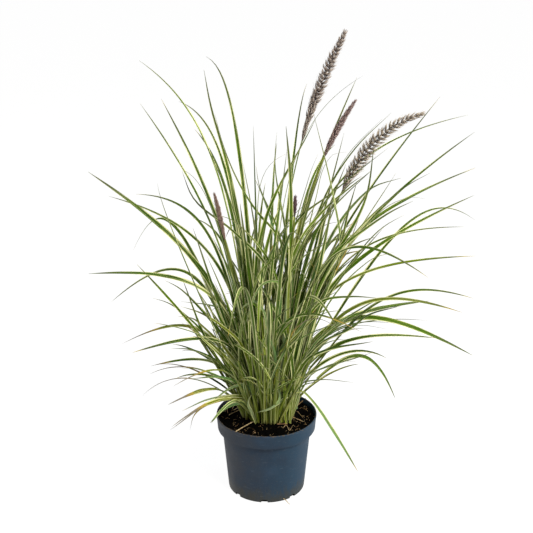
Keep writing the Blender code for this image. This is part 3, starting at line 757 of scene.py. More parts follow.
def moulded_plastic():
    """Polypropylene, injection moulded and matt: slate blue with a dust film, splash marks and scuffs, and
    painted light that makes it greyer on the left and bluer on the right. It gives the eye a soft, slightly
    dirty glow."""
    finish, tree, shader = surface("polypropylene_moulded_dusty", Roughness=0.6, Specular_IOR_Level=0.22)
    place = node(tree, "TexCoord", {}, output="Object")
    x = node(tree, "SeparateXYZ", {}, (place,), "X")
    z = node(tree, "SeparateXYZ", {}, (place,), "Z")
    # Each pattern's squeeze along the axes, its grain in mm, its detail and roughness.
    patterns = (
        ((1, 1, 1), 45.5, 4.0, 0.6),  # clouds in the plastic's colour
        ((1, 1, 1), 29.4, 6.0, 0.65),  # the dust film
        ((1, 1, 0.35), 8.33, 5.0, 0.7),  # soil dried on in runs
        ((1, 1, 1), 1.43, 1.0, 0.5),  # specks of soil
        ((1, 1, 1), 3.85, 4.0, 0.7),  # soil splashed over the rim
        ((0.35, 0.35, 1.6), 6.25, 3.0, 0.75),  # scuffs, some 18 mm long and 4 mm high
        ((1, 1, 1), 1.11, 2.0, 0.5),  # moulding grain, as coarse as it needs to show
    )
    drawn = []
    for squeeze, size, detail, roughness in patterns:
        spread = node(tree, "VectorMath", {"operation": "MULTIPLY"}, (place, squeeze))
        inputs = {"Vector": spread, "Scale": every(size), "Detail": detail, "Roughness": roughness}
        drawn.append(node(tree, "TexNoise", {}, inputs))
    cloud, film, runs, speck, splash, scuff, grain = drawn
    blues = ((0.30, "1D2E40"), (0.52, "223649"), (0.72, "2A4055"))
    colour = node(tree, "ValToRGB", {"stops": blues}, (cloud,))
    # The dust lies on the left and thins to the right. This change from left to right is also painted
    # light: greyer on the left, and a painted cool blue reflection on the right. The soil lies near the
    # foot and on the top 1 to 4 mm of the rim.
    dust_and_side_light = node(tree, "Math", {"operation": "MULTIPLY_ADD"}, (film, 0.09, x))
    low = node(tree, "Math", {"operation": "MULTIPLY_ADD"}, (runs, -0.075, z))
    high = node(tree, "Math", {"operation": "MULTIPLY_ADD"}, (splash, 0.014, z))
    colour = layered(
        tree,
        colour,
        # grey dust on the left, partly also painted light on that side
        (dust_and_side_light, 0.06, -0.05, 0.8, "3D3E41"),
        (dust_and_side_light, 0.05, 0.11, 0.7, "1D3B50"),  # the cleaner right side, also bluer as a painted cool reflection
        (low, 0.0, -0.036, 0.65, "3E3B2C"),
        (speck, 0.67, 0.73, 0.35, "5C5B52"),
        (high, 0.1590, 0.1612, 0.8, "5A4C3A"),
        (scuff, 0.60, 0.70, 0.12, "6F7F8C"),
    )
    rough = node(tree, "MapRange", SOFT, (cloud, 0.3, 0.7, 0.52, 0.66))
    bump = node(tree, "Bump", {}, {"Height": grain, "Strength": 0.25, "Distance": 0.3 * MM})
    feed(tree, shader, Base_Color=colour, Roughness=rough, Normal=bump)
    return finish


def damp_peat():
    """Peat, milled: dark crumbs and fibres, damp and without gloss. It gives the eye a
    near-black crumb with a few tan specks."""
    finish, tree, shader = surface("peat_milled_damp", Roughness=0.95, Specular_IOR_Level=0.04)
    tone = node(tree, "Attribute", {"attribute_name": "tone"}, output="Fac")
    place = node(tree, "TexCoord", {}, output="Object")
    inputs = {"Vector": place, "Scale": every(0.57), "Detail": 5.0, "Roughness": 0.7}
    crumb = node(tree, "TexNoise", {}, inputs)
    tone = node(tree, "Math", {"operation": "MULTIPLY_ADD"}, (crumb, 0.22, tone))
    tone = node(tree, "Math", {"operation": "SUBTRACT"}, (tone, 0.11))
    browns = ((0.0, "010101"), (0.45, "050403"), (0.80, "120D08"), (0.90, "4C3A26"), (1.0, "A08358"))
    colour = node(tree, "ValToRGB", {"stops": browns}, (tone,))
    bump = node(tree, "Bump", {}, {"Height": crumb, "Strength": 1.0, "Distance": 1.5 * MM})
    feed(tree, shader, Base_Color=colour, Normal=bump)
    return finish


def dry_straw():
    """Straw, dried: hollow stalk bits, bleached, with darker ends. It gives the eye
    pale tan sticks."""
    finish, tree, shader = surface("straw_dried", Roughness=0.6, Specular_IOR_Level=0.4)
    carried, place = grown(tree)
    grain = streaks(tree, place, 8.0, 11.1, 50.0, 3.0)
    tans = ((0.0, "7A5236"), (0.35, "A98A5E"), (1.0, "D2BC8F"))
    colour = node(tree, "ValToRGB", {"stops": tans}, (carried["tone"],))
    colour = layered(tree, colour, (grain, 0.4, 0.7, 0.55, "7C6342"))
    bump = node(tree, "Bump", {}, {"Height": grain, "Strength": 0.4, "Distance": 0.2 * MM})
    feed(tree, shader, Base_Color=colour, Normal=bump)
    return finish


def weed_leaf():
    """Seedling leaf, grown: soft, thin and veined. It gives the eye a small fresh green
    spot on the soil."""
    finish, tree, shader = surface("seedling_leaf_soft", Roughness=0.55)
    place = node(tree, "TexCoord", {}, output="Object")
    vein = node(tree, "TexNoise", {}, {"Vector": place, "Scale": every(2.38), "Detail": 3.0})
    colour = node(tree, "ValToRGB", {"stops": ((0.3, "3F6A34"), (0.7, "6F9A5A"))}, (vein,))
    bump = node(tree, "Bump", {}, {"Height": vein, "Strength": 0.4, "Distance": 0.3 * MM})
    feed(tree, shader, Base_Color=colour, Normal=bump)
    return finish


def pale_floor():
    """Studio board, painted matt. It glows, so that the main picture's ground is white."""
    finish, tree, shader = surface("studio_board_matt", Roughness=0.9, Specular_IOR_Level=0.0)
    shader.inputs["Base Color"].default_value = linear("696969")
    shader.inputs["Emission Color"].default_value = linear("FFFFFF")
    shader.inputs["Emission Strength"].default_value = 0.93
    return finish


# ---------------------------------------------------------------- pot and soil


def settle(piece, slot, *nodes):
    """A finished piece rides on the body, and stands for these solids."""
    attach(piece, "root")
    if nodes:
        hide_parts(*nodes)


def pot_profile():
    """The pot's section: out along the underside, up the outside, over the lip, down
    the inside, with rounded corners."""
    lip_outer, lip_inner = RIM_RADIUS, RIM_RADIUS - 2.4 * MM
    lip_middle, lip_round = (lip_outer + lip_inner) / 2, (lip_outer - lip_inner) / 2
    over = [
        (lip_middle + lip_round * math.cos(a), POT_HEIGHT - lip_round + lip_round * math.sin(a))
        for a in np.radians((0, 30, 60, 90, 120, 150, 180))
    ]
    body = [
        (BASE_RADIUS + (NECK_RADIUS - BASE_RADIUS) * s, 2.5 * MM + (BAND_FOOT - 4.5 * MM) * s)
        for s in np.linspace(0, 1, 14)
    ]
    return [
        (0, 0),
        (0.5 * BASE_RADIUS, 0),
        (BASE_RADIUS - 2.5 * MM, 0),
        (BASE_RADIUS - 1.0 * MM, 0.4 * MM),
        (BASE_RADIUS - 0.3 * MM, 1.2 * MM),
        *body,
        (NECK_RADIUS + 0.3 * MM, BAND_FOOT - 0.8 * MM),
        (NECK_RADIUS + 1.0 * MM, BAND_FOOT - 0.2 * MM),
        (BAND_FOOT_RADIUS - 1.2 * MM, BAND_FOOT),
        (BAND_FOOT_RADIUS - 0.4 * MM, BAND_FOOT + 0.3 * MM),
        (BAND_FOOT_RADIUS, BAND_FOOT + 1.1 * MM),
        (BAND_FOOT_RADIUS + 0.6 * MM, BAND_FOOT + 9 * MM),
        (BAND_FOOT_RADIUS + 1.3 * MM, BAND_FOOT + 18 * MM),
        (lip_outer - 0.4 * MM, POT_HEIGHT - 4.8 * MM),
        (lip_outer - 0.1 * MM, POT_HEIGHT - 3.9 * MM),
        *over,
        (BAND_FOOT_RADIUS - WALL, BAND_FOOT + WALL + 0.5 * MM),
        (NECK_RADIUS - WALL, BAND_FOOT + WALL),
        (BASE_RADIUS - WALL, FLOOR + 1.0 * MM),
        (BASE_RADIUS - WALL - 1.0 * MM, FLOOR),
        (0, FLOOR),
    ]


def notch_cutters():
    """Round-topped blocks that cut the drainage notches out of the pot's foot."""
    stock = Stock()
    half, corner = NOTCH_WIDTH / 2, 2.5 * MM
    arch = [(-half, -4 * MM), (half, -4 * MM)]
    for middle, turn in ((half - corner, 0), (corner - half, 90)):
        for a in np.radians((turn, turn + 30, turn + 60, turn + 90)):
            arch.append((middle + corner * math.cos(a), NOTCH_HEIGHT - corner + corner * math.sin(a)))
    section = np.array([arch, arch])
    for k in range(NOTCHES):
        angle = NOTCH_TURN + k * 2 * math.pi / NOTCHES
        out = level(angle)
        centres = np.outer((BASE_RADIUS - NOTCH_DEPTH, BASE_RADIUS + 8 * MM), out)
        side = np.tile((-out[1], out[0], 0.0), (2, 1))
        verts, quads, tris = sweep(centres, side, np.tile(UP, (2, 1)), section)
        stock.add(verts, quads[:, :, ::-1], tris[:, ::-1])
    return stock.make("notch_cutters", None)


def build_pot():
    verts, quads, tris = turned(pot_profile(), POT_SIDES)
    # Thin moulded plastic is never quite round or level.
    angle = np.arctan2(verts[:, 1], verts[:, 0])
    rise = verts[:, 2] / POT_HEIGHT
    swell = 0.35 * np.sin(2 * angle + 0.6) + 0.18 * np.sin(5 * angle + 2.0)
    verts[:, :2] *= (1 + swell * rise * 0.5 * MM / 0.09)[:, None]
    verts[:, 2] += 0.25 * MM * rise**3 * np.sin(3 * angle + 1.0)
    stock = Stock()
    stock.add(verts, quads, tris)
    pot = stock.make("pot_wall", None)
    cutter = notch_cutters()
    cut = pot.modifiers.new("drainage", "BOOLEAN")
    cut.operation, cut.solver, cut.object = "DIFFERENCE", "EXACT", cutter
    bpy.context.view_layer.update()
    mesh = bpy.data.meshes.new_from_object(pot.evaluated_get(bpy.context.evaluated_depsgraph_get()))
    pot.modifiers.remove(cut)
    pot.data = mesh
    bpy.data.objects.remove(cutter, do_unlink=True)
    mesh.materials.clear()
    mesh.materials.append(moulded_plastic())
    mesh.shade_smooth()
    mesh.set_sharp_from_angle(angle=math.radians(35))
    settle(pot, "pot", "pot")


def relief(x, y):
    """Height of the soil at a spot over its level: lumps, and the mound at the shoots."""
    broad = noise.noise(Vector((x * 45 + 3.1, y * 45, 0.7)))
    fine = noise.noise(Vector((x * 160, y * 160 + 5.0, 2.3)))
    mound = np.interp(math.hypot(x, y), (MOUND_TOP, MOUND_FOOT), (MOUND_RISE, 0.0))
    return mound + 2.2 * MM * broad + 1.5 * MM * fine


def on_soil(u, v, lift):
    """The point that the camera sees at a pixel, this many mm over the soil."""
    spot = seen_at_height(u, v, SOIL_TOP)
    return seen_at_height(u, v, SOIL_TOP + relief(spot[0], spot[1]) + lift * MM)


def build_soil(finish):
    """The root ball: it follows the pot's inside, and its top is a lumpy crumb."""
    foot = FLOOR + 0.4 * MM
    neck = BAND_FOOT + WALL + 0.6 * MM
    top_radius = RIM_RADIUS - 3.3 * MM - SOIL_CLEAR
    top = [(top_radius - 1.5 * MM * k, SOIL_TOP) for k in range(1, int(top_radius / MM / 1.5))]
    profile = [
        (0, foot),
        (BASE_RADIUS - WALL - 1.2 * MM - SOIL_CLEAR, foot),
        (BASE_RADIUS - WALL - SOIL_CLEAR, foot + 1.2 * MM),
        (NECK_RADIUS - WALL - SOIL_CLEAR, neck),
        (BAND_FOOT_RADIUS - WALL - SOIL_CLEAR, neck + 0.8 * MM),
        (top_radius, SOIL_TOP - 1 * MM),
        *top,
        (0, SOIL_TOP),
    ]
    verts, quads, tris = turned(profile, 180)
    for v in verts:
        if v[2] > SOIL_TOP - 2 * MM:
            v[2] += relief(v[0], v[1])
    stock = Stock()
    stock.add(verts, quads, tris, tone=0.35)
    settle(stock.make("peat_ball", finish), "soil", "soil")


def build_crumbs(finish, rng):
    """Loose crumbs of peat: lumpy grains of 1 to 4 mm lying all over the soil."""
    golden = (1 + math.sqrt(5)) / 2
    ball = unit(np.array([(a, b * golden, 0) for a in (-1, 1) for b in (-1, 1)], float))
    ball = np.concatenate([np.roll(ball, k, axis=1) for k in range(3)])
    corners = len(ball)
    faces = [
        (i, j, k)
        for i in range(corners)
        for j in range(i + 1, corners)
        for k in range(j + 1, corners)
        if max(np.linalg.norm(ball[a] - ball[b]) for a, b in ((i, j), (j, k), (i, k))) < 1.1
    ]
    faces = np.array([f if np.linalg.det(ball[list(f)]) > 0 else f[::-1] for f in faces])
    radius = LOOSE_REACH * np.sqrt(rng.random(PEAT_CRUMBS))
    angle = rng.uniform(0, 2 * math.pi, PEAT_CRUMBS)
    size = 0.55 * MM + 1.5 * MM * rng.random(PEAT_CRUMBS) ** 3
    tall = rng.uniform(0.45, 1.0, (PEAT_CRUMBS, 3))
    spin = unit(rng.normal(size=(PEAT_CRUMBS, 3)))
    lumps = ball * (1 + rng.uniform(-0.28, 0.28, (PEAT_CRUMBS, corners, 1)))
    lumps = lumps * tall[:, None] * size[:, None, None]
    # Each grain is turned by a mirror across a random plane, and its faces with it.
    lumps = lumps - 2 * (lumps @ spin[:, :, None]) * spin[:, None]
    x, y = radius * np.cos(angle), radius * np.sin(angle)
    z = np.array([SOIL_TOP + relief(a, b) for a, b in zip(x, y)]) + 0.35 * size
    verts = (lumps + np.stack([x, y, z], -1)[:, None]).reshape(-1, 3)
    tris = (faces[:, ::-1] + corners * np.arange(PEAT_CRUMBS)[:, None, None]).reshape(-1, 3)
    tan = rng.random(PEAT_CRUMBS) < 0.05
    pale, dark = (rng.uniform(*ends, PEAT_CRUMBS) for ends in ((0.85, 1.0), (0.1, 0.72)))
    stock = Stock()
    stock.add(verts, [], tris, tone=np.repeat(np.where(tan, pale, dark), corners))
    settle(stock.make("peat_crumbs", finish), "soil")


def lay_fibre(stock, path, radii, spots, tone, flat):
    """A thin, somewhat flat fibre along a path."""
    share = np.linspace(0, 1, len(radii))
    skin = sweep(*path.read(share * path.length), round_section(radii, spots, flat))
    across = np.tile(np.arange(spots) / spots, len(radii))
    stock.add(*skin, across=across, along=np.repeat(share * path.length, spots), tone=tone)


def add_peat_fibre(stock, rng):
    """A fine fibre of the peat, lying somewhere on the soil in a small bow."""
    r, a = 86 * MM * math.sqrt(rng.uniform(0.25, 1)), rng.uniform(0, 2 * math.pi)
    spot = r * level(a)[:2]
    heading, bow, step = rng.uniform(0, 2 * math.pi), rng.uniform(-0.9, 0.9), 2.6 * MM
    points = []
    for lift in (0.9, 1.7, 1.6, 0.7):
        points.append((*spot, SOIL_TOP + relief(*spot) + lift * MM))
        spot = spot + step * level(heading)[:2]
        heading += bow
    if np.linalg.norm(spot) < LOOSE_REACH:
        tone = rng.uniform(0.1, 0.9)
        lay_fibre(stock, through(points, UP, 4), np.linspace(0.24, 0.10, 8) * MM, 4, tone, 0.8)


def build_straws(finish, rng):
    """Straw bits and peat fibres lying on the soil, and a root's end at the pot's foot."""
    stock = Stock()
    share = np.linspace(0, 1, 16)
    swell = 1 + 0.12 * np.sin(9 * share) - 0.25 * share
    for radius, tone, passed in STRAWS:
        points = [on_soil(*pixel) for pixel in passed]
        lay_fibre(stock, through(points, UP), radius * MM * swell, 7, tone, 0.6)
    # More straws at the sides and at the back.
    for k in range(LOOSE_STRAWS):
        angle = math.pi * (0.02 + 0.96 * (k * 0.618 % 1))
        spot = level(angle)[:2] * rng.uniform(62, 78) * MM
        along = level(angle + 1.9)[:2] * rng.uniform(8, 15) * MM
        ends = [(*p, SOIL_TOP + relief(*p) + 1.5 * MM) for p in (spot - along, spot, spot + along)]
        lay_fibre(stock, through(ends, UP), rng.uniform(0.7, 1.2) * MM * swell, 7, rng.random(), 0.6)
    for _ in range(PEAT_FIBRES):
        add_peat_fibre(stock, rng)
    root_end = np.array(((30, -62, 4), (37, -72, 4.5), (41, -77, 2.2), (44, -80, 1.2))) * MM
    lay_fibre(stock, through(root_end, UP), np.linspace(1.3, 0.5, 14) * MM, 6, 0.9, 0.8)
    settle(stock.make("straw_bits", finish), "soil")


def build_weed():
    """A seedling beside the crown: round leaves on threads of stalk."""
    stock = Stock()
    share = np.linspace(0, 1, 12)
    root = on_soil(*SEEDLING_FOOT, -2.0)
    for u, v, radius, heading in SEEDLING:
        centre = on_soil(u, v, 5.0)
        out = level(math.radians(heading))
        reach = (2 * share - 1)[:, None]
        line = centre + out * radius * MM * reach + UP * 1.2 * MM * np.sin(3 * reach)
        path = Path(line, (-out[1], out[0], 0.0))
        full = 2 * radius * MM * np.sqrt(np.maximum(1 - (2 * share - 1) ** 2, 0.004))
        section = leaf_section(full, np.full(12, 0.15 * MM), np.full(12, 0.06))
        stock.add(*sweep(*path.read(share * path.length), section))
        thread = through((root, (root + line[0]) / 2 + UP * MM, line[0] + 0.3 * (centre - line[0])), RIGHT)
        skin = sweep(*thread.read(share * thread.length), round_section(np.full(12, 0.4 * MM), 6))
        stock.add(*skin)
    settle(stock.make("weed_seedling", weed_leaf()), "leaf")


# ---------------------------------------------------------------- grass


ACROSS = np.array([1, 0.5, 0, -0.5, -1, -0.5, 0, 0.5])
FACE = np.array([0, 0.7, 1, 0.7, 0, -0.6, -0.45, -0.6])  # lower face +, upper face -
MARGINS = np.array([1, 0, 0, 0, 2, 0, 0, 0])


def leaf_section(full, thick, fold):
    """Rings of a blade folded along its midrib, thin at its margins."""
    full, thick, fold = (np.asarray(a)[:, None] for a in (full, thick, fold))
    return np.stack([ACROSS * full / 2, FACE * thick - fold * full * np.abs(ACROSS) ** 1.25], -1)


def blade_width(share):
    """Width at this share of a blade, of its widest: narrow at the sheath, widest a
    third of the way along, then a long fine taper."""
    swell = 0.6 + 0.4 * np.minimum(1, share / 0.3)
    return np.maximum(swell * (1 - share**3) ** 0.8, 0.04)


def add_blade(stock, path, start, width, turns, tone, wither, fold=0.17, rings=44, wander=0.0):
    """One leaf blade on its path, from its sheath's mouth to its tip, turned about its
    midrib by one angle at its foot and another at its tip. Past wither, a share of its
    length, it is dry and shrunken."""
    share = np.linspace(0, 1, rings)
    distances = start + share * (path.length - start)
    centres, sides, unders = path.read(distances, np.linspace(*turns, rings))
    dry = np.clip((share - wither) / 0.25, 0, 1)
    full = width * MM * blade_width(share) * (1 - 0.45 * dry)
    full *= 1 + 0.04 * np.sin(share * 23 + 9 * tone)
    centres = centres + sides * (wander * MM * share * np.sin(share * 7 + 20 * tone))[:, None]
    clasp = fold + 0.3 * np.exp(-share / 0.05) + 0.15 * dry
    section = leaf_section(full, BLADE_THICK * np.sqrt(blade_width(share)), clasp)
    spots = len(ACROSS)
    stock.add(
        *sweep(centres, sides, unders, section),
        crease=np.tile(MARGINS, rings),
        across=np.tile((ACROSS + 1) / 2, rings),
        along=np.repeat(distances, spots),
        share=np.repeat(share, spots),
        tone=tone,
        dry=np.repeat(dry, spots),
        under=np.tile((np.sign(FACE) + 1) / 2, rings),
    )


def shoot_length(tip_height):
    """Length of the shoot under a leaf whose tip is this high, in mm."""
    shortest, gain = SHOOT_LENGTH
    return shortest + gain * min(1.0, tip_height / FULL_HEIGHT)


def add_shoot(stock, path, end, mouths, foot_radius, top_radius, turn, tone, dry=0.0):
    """A shoot of rolled sheaths, flattened, each sheath ending in a small step at its
    mouth, with its free edge as a seam down one side."""
    steps = ((m - 0.7 * MM, m + 0.7 * MM) for m in mouths)
    marks = np.unique(np.concatenate([np.linspace(0, end, 13), *steps]))
    marks = marks[(marks >= 0) & (marks <= end)]
    radii = np.interp(marks, (0, 0.45 * end, end), (foot_radius, 0.84 * foot_radius, top_radius))
    for m in mouths:
        radii = radii * (1.07 - 0.14 * np.clip((marks - m) / (1.4 * MM) + 0.5, 0, 1))
    spots = 12
    spot = np.arange(spots)
    ring = (1 + 0.13 * spot / spots)[:, None] * np.stack(
        [np.cos(2 * math.pi * spot / spots), 0.66 * np.sin(2 * math.pi * spot / spots)], -1
    )
    section = radii[:, None, None] * ring
    stock.add(
        *sweep(*path.read(marks, turn), section),
        crease=np.tile(np.where(spot == 0, 1, np.where(spot == spots - 1, 2, 0)), len(marks)),
        across=np.tile(spot / (spots - 1), len(marks)),
        along=np.repeat(marks, spots),
        share=np.repeat(marks / end, spots),
        tone=tone,
        dry=dry * np.repeat(np.interp(marks, (0, 0.7 * end, end), (1, 0.8, 0.2)), spots),
        under=0.5,
    )


def in_heap(points, room):
    """Whether a leaf stays in the dense part of the clump, grown by room."""
    x, y, z = points.T
    height, *reaches = np.array(HEAP).T * MM
    left, right, front, back = (np.interp(z, height, reach) for reach in reaches)
    wide = np.hypot(x / np.where(x < 0, left, right), y / np.where(y < 0, front, back))
    before_pot = (y < -RIM_RADIUS) & (z < 330 * MM)
    return bool((wide < room).all() and not before_pot.any())


def draw_leaf(rng, foot, tangent, q):
    """A leaf that leaves its shoot towards q: drawn again, ever shorter, until it lies
    in the clump."""
    room = rng.uniform(0.7, 1.35)
    direction = unit(tangent + q * math.tan(math.radians(rng.uniform(3, 38))))
    lean = math.acos(direction[2])
    length = rng.uniform(0.22, 0.50)
    limp = 1.7 if rng.random() < 0.3 else 1.0
    fall = math.radians(rng.uniform(35, 80)) if rng.random() < 0.06 else 0.0
    for _ in range(50):
        droop = math.radians(rng.uniform(15, 110)) * (0.5 + lean) * limp
        kink = (rng.uniform(0.45, 0.75), fall)
        power, drift = rng.uniform(1.3, 2.6), rng.uniform(-0.9, 0.9)
        path = drooping(foot, direction, length, droop, power, drift, kink)
        if in_heap(path.points, room):
            return path
        length *= 0.96
    return None


FILLS = ("left", "right", "front", "back", "inner")


def side_of(tip):
    """The bundle that a leaf with this tip belongs to."""
    if math.hypot(tip[0], tip[1]) < 0.11:
        return "inner"
    if abs(tip[0]) > abs(tip[1]):
        return "right" if tip[0] > 0 else "left"
    return "back" if tip[1] > 0 else "front"


def add_fill_leaf(bundles, rng, path):
    """A leaf of the mass on its path, with a width, twist and age of its own."""
    swing = rng.uniform(-1.0, 1.0)
    wither = rng.choice((1.0, 0.95, 0.88, 0.5), p=(0.35, 0.35, 0.25, 0.05))
    width = rng.uniform(5.4, 11.0) * min(1.0, 0.45 + path.length / 0.55)
    tone, fold, wander = rng.random() ** 0.9, rng.uniform(0.12, 0.26), rng.uniform(0, 5)
    stock, turns = bundles[side_of(path.points[-1])], (0.25 * swing, swing)
    add_blade(stock, path, 0.0, width, turns, tone, wither, fold, 26, wander)


def leaves_of_shoot(bundles, rng, path, mouths):
    """A leaf from each sheath's mouth, left and right of the shoot in turn."""
    fan = rng.uniform(0, math.pi)
    for k, mouth in enumerate(mouths):
        centre, _, _ = path.read(mouth)
        heading = fan + math.pi * (k % 2) + rng.uniform(-0.5, 0.5)
        q = level(heading)
        tangent = unit(path.along(path.slopes, np.array([mouth])))[0]
        leaf = draw_leaf(rng, centre[0] + q * 1.2 * MM, tangent, q)
        if leaf is not None:
            add_fill_leaf(bundles, rng, leaf)


def add_skirt(bundles, rng):
    """Leaves that arch low out of the crown's edge, none of them to the front."""
    for index in range(SKIRT_LEAVES):
        angle = GOLDEN * index
        if math.sin(angle) < -0.2:
            continue
        out = level(angle)
        foot = out * rng.uniform(34, 42) * MM + UP * (STRAND_FOOT + rng.uniform(0, 30) * MM)
        lean, droop = math.radians(rng.uniform(20, 45)), math.radians(rng.uniform(50, 100))
        length, drift = rng.uniform(0.16, 0.28), rng.uniform(-0.5, 0.5)
        path = drooping(foot, leaning(out, lean), length, droop, rng.uniform(1.1, 1.8), drift)
        add_fill_leaf(bundles, rng, path)


def add_long_blade(stock, width, route, tone, wither, front, sway, rings):
    """A blade on a strand, from its shoot's mouth to its tip. The more it leans to the
    left or right, the more its upper face turns to the front."""
    sideways = route[1] / math.hypot(route[1], route[2])
    swing = sway - math.radians(front) * sideways
    start = shoot_length(route[3]) - 2 * MM
    turns = (0.6 * swing, swing)
    add_blade(stock, strand(*route), start, BROADER * width, turns, tone, wither, rings=rings)


def build_named_leaves(finish):
    """The leaves that have a solid each."""
    for index, (name, (width, *route)) in enumerate(LEAVES.items()):
        usual = (0.36 + 0.34 * (index * 0.618 % 1), (0.97, 0.93, 1.0)[index % 3])
        tone, wither = LEAF_TONES.get(name, usual)
        sway = math.radians(18) * math.sin(GOLDEN * index)
        stock = Stock()
        add_long_blade(stock, width, route, tone, wither, 58, sway, 44)
        settle(stock.make(f"blade_{name}", finish), "leaf", f"leaf_{name}")


def build_lone_blades(finish):
    """Single long blades on strands of their own."""
    stock = Stock()
    for index, (width, *route, tone, wither) in enumerate(LONE_BLADES):
        sway = math.radians(20) * math.sin(GOLDEN * index + 2)
        add_long_blade(stock, width, route, tone, wither, 55, sway, 40)
    settle(stock.make("lone_blades", finish), "leaf")


def seen_path(foot_depth, tip_depth, column, pixels):
    """The line of a blade that passes pixels of the photograph, its depth changing
    evenly from its foot in the crown to its tip."""
    legs = np.linalg.norm(np.diff([(column, FOOT_ROW), *pixels], axis=0), axis=1)
    shares = np.cumsum(legs) / legs.sum()
    depths = (foot_depth + (tip_depth - foot_depth) * shares) * MM
    passed = [seen_at_depth(u, v, depth) for (u, v), depth in zip(pixels, depths)]
    return through([rooted(column, foot_depth * MM), *passed], (0.0, -1.0, 0.0))


def build_seen_blades(finish):
    """The single blades of each part of the picture, turned to the front."""
    for part, (name, blades) in enumerate(SEEN_BLADES.items()):
        stock = Stock()
        for index, (width, tone, wither, *route) in enumerate(blades):
            facing = 1.1 + 0.35 * math.sin(GOLDEN * index + part)
            swing = 0.8 * math.cos(GOLDEN * index + part)
            turns = (facing - 0.3 * swing, facing + 0.7 * swing)
            add_blade(stock, seen_path(*route), 0.0, BROADER * width, turns, tone, wither)
        settle(stock.make(f"blades_{name}", finish), "leaf")


def crown_feet(rng, taken, count):
    """Feet for more shoots, where the crown has room; bare soil shows at its front
    left."""
    feet = []
    while len(feet) < count:
        r, a = CROWN_RADIUS * math.sqrt(rng.random()), rng.uniform(0, 2 * math.pi)
        spot = r * level(a)[:2]
        bare = (spot < -20 * MM).all()
        if not bare and all(np.linalg.norm(spot - t) > 3.4 * MM for t in taken + feet):
            feet.append(spot)
    return feet


def extra_shoot(rng, spot):
    """The line of a shoot that stands on a spot of the crown, leaning outwards."""
    radius, angle = np.hypot(*spot), math.atan2(spot[1], spot[0])
    lean = math.radians(2 + 23 * (radius / CROWN_RADIUS) ** 1.2 + rng.uniform(-3, 3))
    heading = angle + rng.uniform(-0.4, 0.4)
    direction = leaning(level(heading), lean)
    foot = np.array([*spot, STRAND_FOOT - 3 * MM])
    return drooping(foot, direction, rng.uniform(0.12, 0.25), math.radians(rng.uniform(0, 8)), 1.5)


def build_shoots(bundles, finish, rng):
    """All shoots at the crown, and the leaves that leave them lower down."""
    stock = Stock()
    taken = []
    routes = [row[1:7] for row in (*LEAVES.values(), *LONE_BLADES)]
    routes += [row[:6] for row in FLOWERS.values()]
    for route in routes:
        path = strand(*route)
        end = shoot_length(route[3])
        taken.append(path.points[0][:2])
        mouths = np.sort(rng.uniform(0.35, 0.95, 2)) * end
        foot, turn, tone = rng.uniform(2.1, 2.8) * MM, rng.uniform(0, math.pi), rng.random()
        add_shoot(stock, path, end, mouths, foot, 1.5 * MM, turn, tone, float(rng.random() < 0.03))
        leaves_of_shoot(bundles, rng, path, mouths)
    for spot in crown_feet(rng, taken, EXTRA_SHOOTS):
        path = extra_shoot(rng, spot)
        end = path.length
        mouths = np.linspace(0.40, 0.99, rng.integers(2, 4)) * end
        foot, turn, tone = rng.uniform(1.9, 2.6) * MM, rng.uniform(0, math.pi), rng.random()
        add_shoot(stock, path, end, mouths, foot, 1.2 * MM, turn, tone, float(rng.random() < 0.03))
        leaves_of_shoot(bundles, rng, path, mouths)
    settle(stock.make("sheathed_shoots", finish), "crown", "crown")


# ---------------------------------------------------------------- flowers


def add_needles(stock, feet, middles, tips, radius, tone):
    """Fine three-sided needles, each from its foot over a middle point to its tip: rings
    of three points at the first two, and one point at the last."""
    count = len(feet)
    line = unit(tips - feet)
    across = unit(np.cross(line, np.roll(line, 1, axis=1) + 0.3))
    beyond = np.cross(line, across)
    turns = np.arange(3) * 2 * math.pi / 3
    ring = np.cos(turns)[:, None] * across[:, None] + np.sin(turns)[:, None] * beyond[:, None]
    radius = np.reshape(radius, (-1, 1, 1))
    rings = (feet[:, None] + radius * ring, middles[:, None] + 0.75 * radius * ring)
    verts = np.concatenate([*rings, tips[:, None]], 1)
    walls = [(j, (j + 1) % 3, 3 + (j + 1) % 3, 3 + j) for j in range(3)]
    points = [(3 + j, 3 + (j + 1) % 3, 6) for j in range(3)] + [(0, 2, 1)]
    base = 7 * np.arange(count)[:, None, None]
    stock.add(
        verts.reshape(-1, 3),
        np.array(walls) + base,
        np.array(points) + base,
        share=np.tile([0, 0, 0, 0.5, 0.5, 0.5, 1], count),
        tone=np.repeat(tone, 7),
    )


def spike_body(share, fullest):
    """How full a spike is at this share of it: a slender foot, a full part, a taper."""
    return 0.2 + 0.8 * math.sin(math.pi * share ** (math.log(0.5) / math.log(fullest))) ** 1.2


def add_spikelet(stock, foot, direction, length):
    """The small dark grain in the middle of a tuft."""
    side = unit(np.cross(direction, UP + 0.01))
    grain = Path([foot + direction * length * s for s in (0, 0.5, 1)], side)
    skin = sweep(*grain.read(np.array([0, 0.35, 0.7, 1]) * length), round_section(GRAIN, 5))
    stock.add(*skin, share=np.repeat([0.15, 0.25, 0.35, 0.5], 5), tone=0.5)


